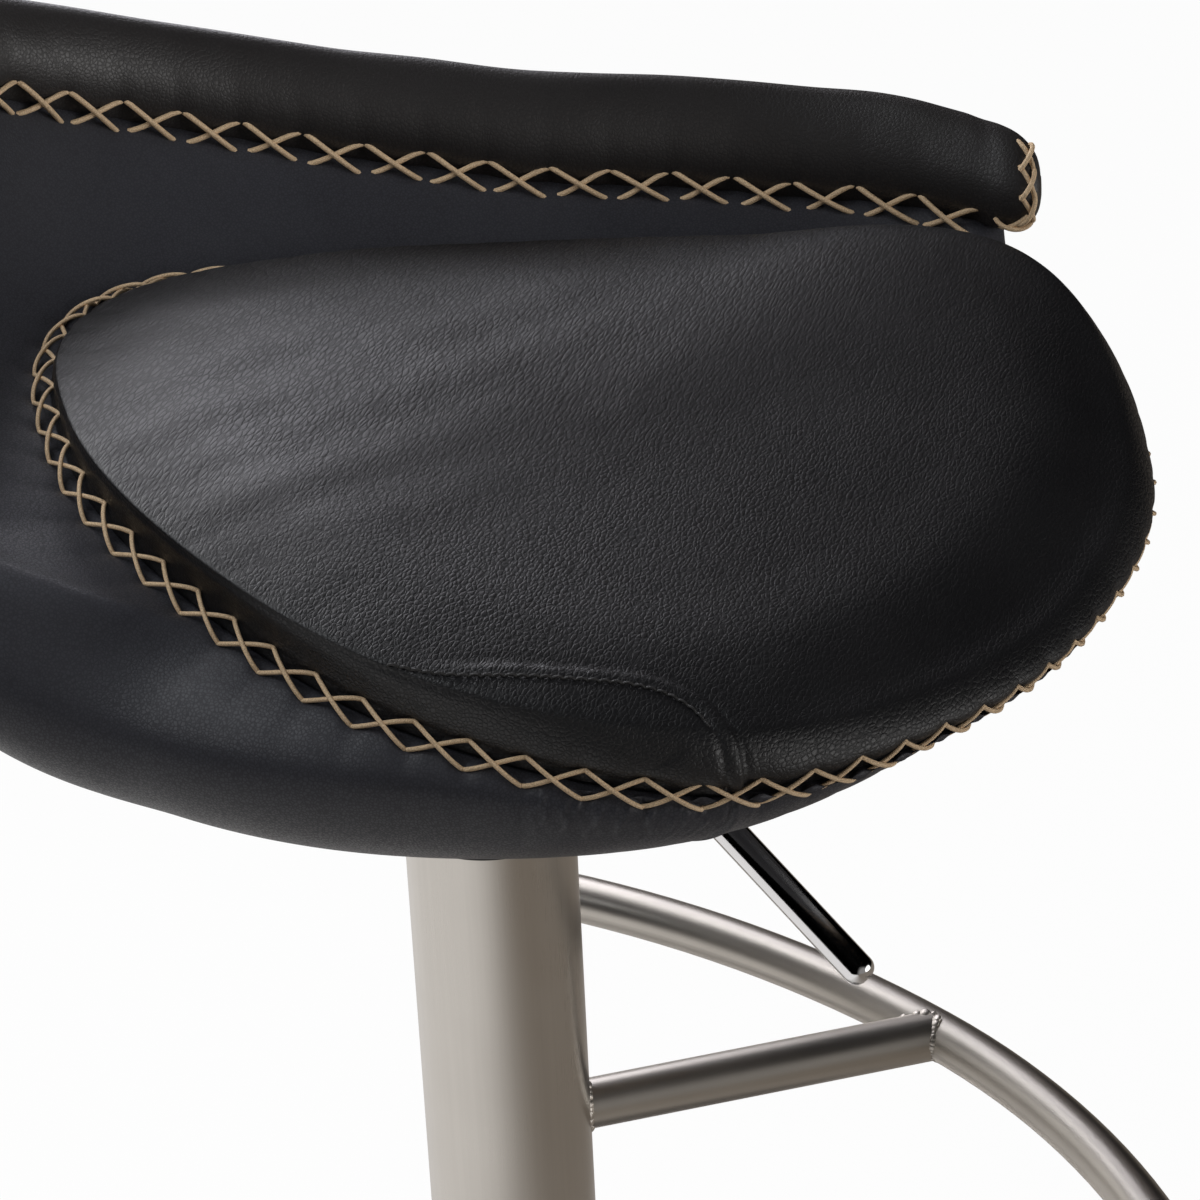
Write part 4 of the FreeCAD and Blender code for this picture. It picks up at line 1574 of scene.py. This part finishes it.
    @staticmethod
    def _at_length(line: Rows, length: float) -> Rows:
        """Reads a point at a length along a line of points."""
        return read_along(length, run_along(line), line)

    def build(self) -> list[bpy.types.Object]:
        """Returns:
            Every piece of the seat.
        """
        hide, smooth, roll_hide, cord, black = (finish.material() for finish in (
            self.hide, self.smooth_hide, self.roll_hide, self.cord, self.black_thread))
        cushion, skin, roll = self.cushion.build(hide), self.skin.build(smooth), self.roll.build(roll_hide)
        sewing = [self.seat_stitches(cord), self.roll_stitches(cord), self.tip_stitches(cord),
                  self.panel_stitches(black)]
        for piece, nodes, slot, fill in ((cushion, ("seat_pad",), "seat_leather", 0.85),
                                         (skin, ("outer_shell", "back_body"), "skin_leather", 0.9),
                                         (roll, ("back_roll",), "skin_leather", 0.9)):
            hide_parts(*nodes)
        pieces = [cushion, skin, roll] + sewing
        for piece in pieces:
            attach(piece, "seat")
        return pieces


# ---------------------------------------------------------------- metalwork


@dataclass(frozen=True)
class WeldBead:
    """Overlapping ripples of weld metal round the ends of the footrest's stay, set by Geometry Nodes."""

    name: str = "weld_beads"
    height: float = 335.0
    tube: float = 10.0
    column: float = 32.5
    stay: float = 178.0
    stay_angle: float = -56.0
    bow_heading: float = -118.5
    ripples: int = 34
    size: tuple[float, float, float] = (2.6, 2.5, 1.3)
    spread: float = 0.1
    seed: int = 7

    def joints(self) -> tuple[Rows, Rows, Rows]:
        """Follows the stay round on the column and on the bow.

        Returns:
            Points, directions along the weld and directions out of it.
        """
        turn = np.arange(self.ripples) * 2 * np.pi / self.ripples
        level = [np.array([math.cos(math.radians(a)), math.sin(math.radians(a)), 0.0])
                 for a in (self.stay_angle, self.stay_angle + 90, self.bow_heading + 90)]
        along, aside, across = level
        round_stay = np.outer(np.cos(turn), aside) + np.outer(np.sin(turn), UP)
        lean, slope = abs(along @ across), aside @ across * np.sign(along @ across)
        on_column = np.sqrt(self.column ** 2 - (self.tube * np.cos(turn)) ** 2)
        on_bow = self.stay - self.tube * (np.abs(np.cos(turn)) + slope * np.cos(turn)) / lean
        root = UP * self.height
        points, ways, outs = [], [], []
        for reach, back in ((on_column, 1.0), (on_bow, -1.0)):
            line = root + np.outer(reach, along) + round_stay * self.tube
            points.append(line)
            ways.append(np.roll(line, -1, 0) - np.roll(line, 1, 0))
            outs.append(round_stay + along * back)
        return np.vstack(points), unit(np.vstack(ways)), unit(np.vstack(outs))

    def build(self, finish: bpy.types.Material) -> bpy.types.Object:
        """Lays the ripples.

        Args:
            finish: The weld's metal.

        Returns:
            The welds as one plain mesh.
        """
        g = PointTree(self.name, {"Size": "Vector", "Spread": "Float", "Seed": "Int", "Finish": "Material"})
        ball = g.node("GeometryNodeMeshIcoSphere", None, {"Radius": 1.0, "Subdivisions": 3}).outputs[0]
        spread = Value(g, g.given["Spread"])
        uneven = g.node("FunctionNodeRandomValue", {"data_type": "FLOAT"}, {
            "Min": spread * -1.0 + 1.0, "Max": spread + 1.0, "Seed": g.given["Seed"]})
        grown = g.vector("SCALE", {0: g.given["Size"], "Scale": uneven.outputs[1]})
        g.set_out(ball, {"Scale": grown})
        settings = {"Size": tuple(v * MM for v in self.size), "Spread": self.spread, "Seed": self.seed,
                    "Finish": finish}
        return g.grown(points_piece(self.name, *self.joints()), settings)


@dataclass
class Metalwork:
    """Finishes for the CAD's own solids, and the footrest's welds."""

    finishes: dict[str, Any] = field(default_factory=lambda: {
        "pad_rubber": Moulding("pad_rubber", (0.020, 0.020, 0.020), 0.75, 1.2, 0.15),
        "brushed_steel": Steel("satin_steel", (0.58, 0.545, 0.50), 0.36),
        "fastener_steel": Steel("zinc_steel", (0.56, 0.57, 0.58), 0.36),
        "black_plastic": Moulding("black_plastic", (0.018, 0.018, 0.019), 0.5, 0.7, 0.05),
        "black_steel": Moulding("black_paint", (0.022, 0.022, 0.024), 0.42, 1.6, 0.04),
        "bright_chrome": Steel("chrome", (0.80, 0.80, 0.81), 0.12, depth=0.001, streak=0.04),
        "plywood": Plywood("ply"),
        "skin_leather": replace(SMOOTH_HIDE, name="smooth_hide_cad"),
        "seat_leather": replace(GRAINED_HIDE, name="grained_hide_cad")})
    special: dict[str, Any] = field(default_factory=lambda: {
        "column_tube": Steel("column_steel", (0.63, 0.60, 0.56), 0.28, Brush.UPRIGHT),
        "base_plate": Steel("disc_steel", (0.63, 0.60, 0.56), 0.38, Brush.ROUND, metallic=0.7)})
    bead: WeldBead = WeldBead()
    bead_metal: Steel = Steel("weld_metal", (0.66, 0.62, 0.57), 0.45, depth=0.01)

    def dress(self) -> None:
        """Gives every CAD node its material and welds the stay on."""
        slots = {part["node"]: part["material_slot"] for part in frame["record"]["subparts"]}
        made = {key: finish.material() for key, finish in {**self.finishes, **self.special}.items()}
        for node, piece in frame["nodes"].items():
            material = made.get(node, made[slots[node]])
            for slot in piece.material_slots:
                slot.material = material
        beads = self.bead.build(self.bead_metal.material())
        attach(beads, "stand")


# ---------------------------------------------------------------- studio


@dataclass(frozen=True)
class SkyPatch:
    """A soft bright patch of the studio's surroundings, in directions seen from the camera."""

    left: float
    away: float
    up: float
    colour: Colour
    full: float
    none: float


@dataclass(frozen=True)
class SoftBox:
    """A square lamp that looks at the seat; its place is in metres from the seat, seen from the camera."""

    name: str
    left: float
    away: float
    up: float
    size: float
    power: float
    colour: Colour


@dataclass
class Studio:
    """The pale floor, soft lights and the camera at the photograph's angle."""

    camera_at: tuple[float, float, float] = (-1297.60, -520.64, 1375.05)
    heading: float = 20.0
    pitch: float = -30.0
    roll: float = -2.689
    lens: float = 132.16
    floor_size: float = 8.0
    mirrored_left: Colour = (1.0, 0.98, 0.96)
    mirrored_right: Colour = (0.24, 0.205, 0.17)
    mirror_fade: float = 0.45
    seen_share: float = 0.97
    mirrored_share: float = 0.9
    seat: tuple[float, float, float] = (0.0, -0.05, 0.65)
    patches: tuple[SkyPatch, ...] = (
        SkyPatch(0.90, 0.42, 0.14, (1.45, 1.43, 1.40), 0.985, 0.88),
        SkyPatch(-0.95, -0.28, 0.04, (3.6, 3.55, 3.5), 0.985, 0.90),
        SkyPatch(-0.49, -0.85, 0.17, (0.28, 0.27, 0.26), 0.97, 0.75),
        SkyPatch(0.08, 0.88, 0.47, (0.15, 0.13, 0.12), 0.985, 0.88))
    boxes: tuple[SoftBox, ...] = (
        SoftBox("far", 0.32, 1.0, 0.4, 0.7, 5.4, (0.93, 0.925, 1.0)),
        SoftBox("top", 0.5, 0.0, 1.0, 0.5, 3.2, (0.94, 0.97, 1.0)),
        SoftBox("side", 0.75, -0.5, 0.75, 0.5, 2.5, (0.95, 0.97, 1.0)),
        SoftBox("back", 0.6, 0.8, 0.7, 0.5, 5.0, (0.98, 0.98, 1.0)))

    def turned(self, left: float, away: float, up: float) -> Vector:
        """Turns a direction seen from the camera into the stool's frame.

        Args:
            left: Its part to the left of the picture.
            away: Its part away from the camera, along the floor.
            up: Its part upwards.

        Returns:
            The direction in the stool's frame.
        """
        heading = math.radians(self.heading)
        return Vector((away * math.cos(heading) - left * math.sin(heading),
                       away * math.sin(heading) + left * math.cos(heading), up))

    def camera(self) -> None:
        """Puts the camera where the photograph was taken."""
        heading, pitch, roll = (math.radians(v) for v in (self.heading, self.pitch, self.roll))
        forward = Vector((math.cos(pitch) * math.cos(heading), math.cos(pitch) * math.sin(heading),
                          math.sin(pitch)))
        level = forward.cross(Vector((0, 0, 1))).normalized()
        right = level * math.cos(roll) + level.cross(forward) * math.sin(roll)
        up = right.cross(forward)
        data = bpy.data.cameras.new("camera")
        data.lens, data.sensor_width = self.lens, 36.0
        camera = bpy.data.objects.new("camera", data)
        turn = Matrix((right, up, -forward)).transposed().to_4x4()
        camera.matrix_world = Matrix.Translation(Vector(self.camera_at) * MM) @ turn
        bpy.context.scene.collection.objects.link(camera)
        bpy.context.scene.camera = camera

    def floor(self) -> None:
        """Lays the pale floor, which shows white and keeps the stool's shadow."""
        half = self.floor_size * 500.0
        corners = np.array([(-half, -half, 0), (half, -half, 0), (half, half, 0), (-half, half, 0)], float)
        floor = plain_mesh("floor", corners, [(0, 1, 2, 3)])
        s = Surface("pale_floor")
        grain = s.noise(s.scaled(0.004), 2.0)
        s.done(s.blend(grain, (0.68, 0.68, 0.68), (0.72, 0.72, 0.72)), 0.8)
        rays = s.node("ShaderNodeLightPath").outputs
        seen, mirrored = Value(s, rays["Is Camera Ray"]), Value(s, rays["Is Glossy Ray"])
        left = s.along(s.place, self.turned(1.0, 0.0, 0.0)).step(-self.mirror_fade, self.mirror_fade)
        tint = s.blend(seen, s.blend(left, self.mirrored_right, self.mirrored_left), (1.0, 1.0, 1.0))
        glow = s.node("ShaderNodeEmission", None, {"Color": tint, "Strength": 1.0})
        mixed = s.node("ShaderNodeMixShader", None, {
            0: seen * self.seen_share + mirrored * self.mirrored_share,
            1: s.shader.outputs[0], 2: glow.outputs[0]})
        s.tree.links.new(mixed.outputs[0], s.tree.nodes["Material Output"].inputs["Surface"])
        floor.data.materials.append(s.material)

    def lamp(self, box: SoftBox) -> None:
        """Hangs one soft lamp.

        Args:
            box: The lamp.
        """
        data = bpy.data.lights.new(box.name, "AREA")
        data.shape, data.size, data.energy, data.color = "SQUARE", box.size, box.power, box.colour
        lamp = bpy.data.objects.new(box.name, data)
        toward = self.turned(box.left, box.away, box.up)
        lamp.location = Vector(self.seat) + toward
        lamp.rotation_euler = (-toward).to_track_quat("-Z", "Y").to_euler()
        bpy.context.scene.collection.objects.link(lamp)

    def sky(self) -> None:
        """Surrounds the stool with soft patches of light; the camera sees plain white."""
        world = bpy.data.worlds.new("studio")
        bpy.context.scene.world = world
        world.use_nodes = True
        g = Graph(world.node_tree)
        place = g.node("ShaderNodeTexCoord").outputs["Generated"]
        seen = Value(g, g.node("ShaderNodeLightPath").outputs["Is Camera Ray"])
        total: Any = (0.0, 0.0, 0.0)
        for patch in self.patches:
            axis = self.turned(patch.left, patch.away, patch.up).normalized()
            share = g.along(place, axis).step(patch.none, patch.full)
            total = g.vector("ADD", {0: total, 1: g.vector("SCALE", {0: patch.colour, "Scale": share})})
        tint = g.node("ShaderNodeMix", {"data_type": "RGBA"}, {
            "Factor_Float": seen, "A_Color": total, "B_Color": (1, 1, 1, 1)}).outputs[2]
        glow = g.node("ShaderNodeBackground", None, {"Color": tint, "Strength": 1.0})
        g.node("ShaderNodeOutputWorld", None, {"Surface": glow.outputs[0]})

    def build(self) -> None:
        """Sets the whole studio up."""
        bpy.context.scene.view_settings.view_transform = "Standard"
        self.camera()
        self.floor()
        self.sky()
        for box in self.boxes:
            self.lamp(box)


def main() -> None:
    """Builds the studio, the finishes and the upholstery in order."""
    logging.basicConfig(level=logging.INFO, format="%(name)s: %(message)s")
    Studio().build()
    LOG.info("studio ready")
    Metalwork().dress()
    LOG.info("metalwork dressed: %d nodes", len(frame["nodes"]))
    for piece in Upholstery().build():
        LOG.info("%s: %d faces", piece.name, len(piece.data.polygons))


if __name__ == "__main__":
    main()
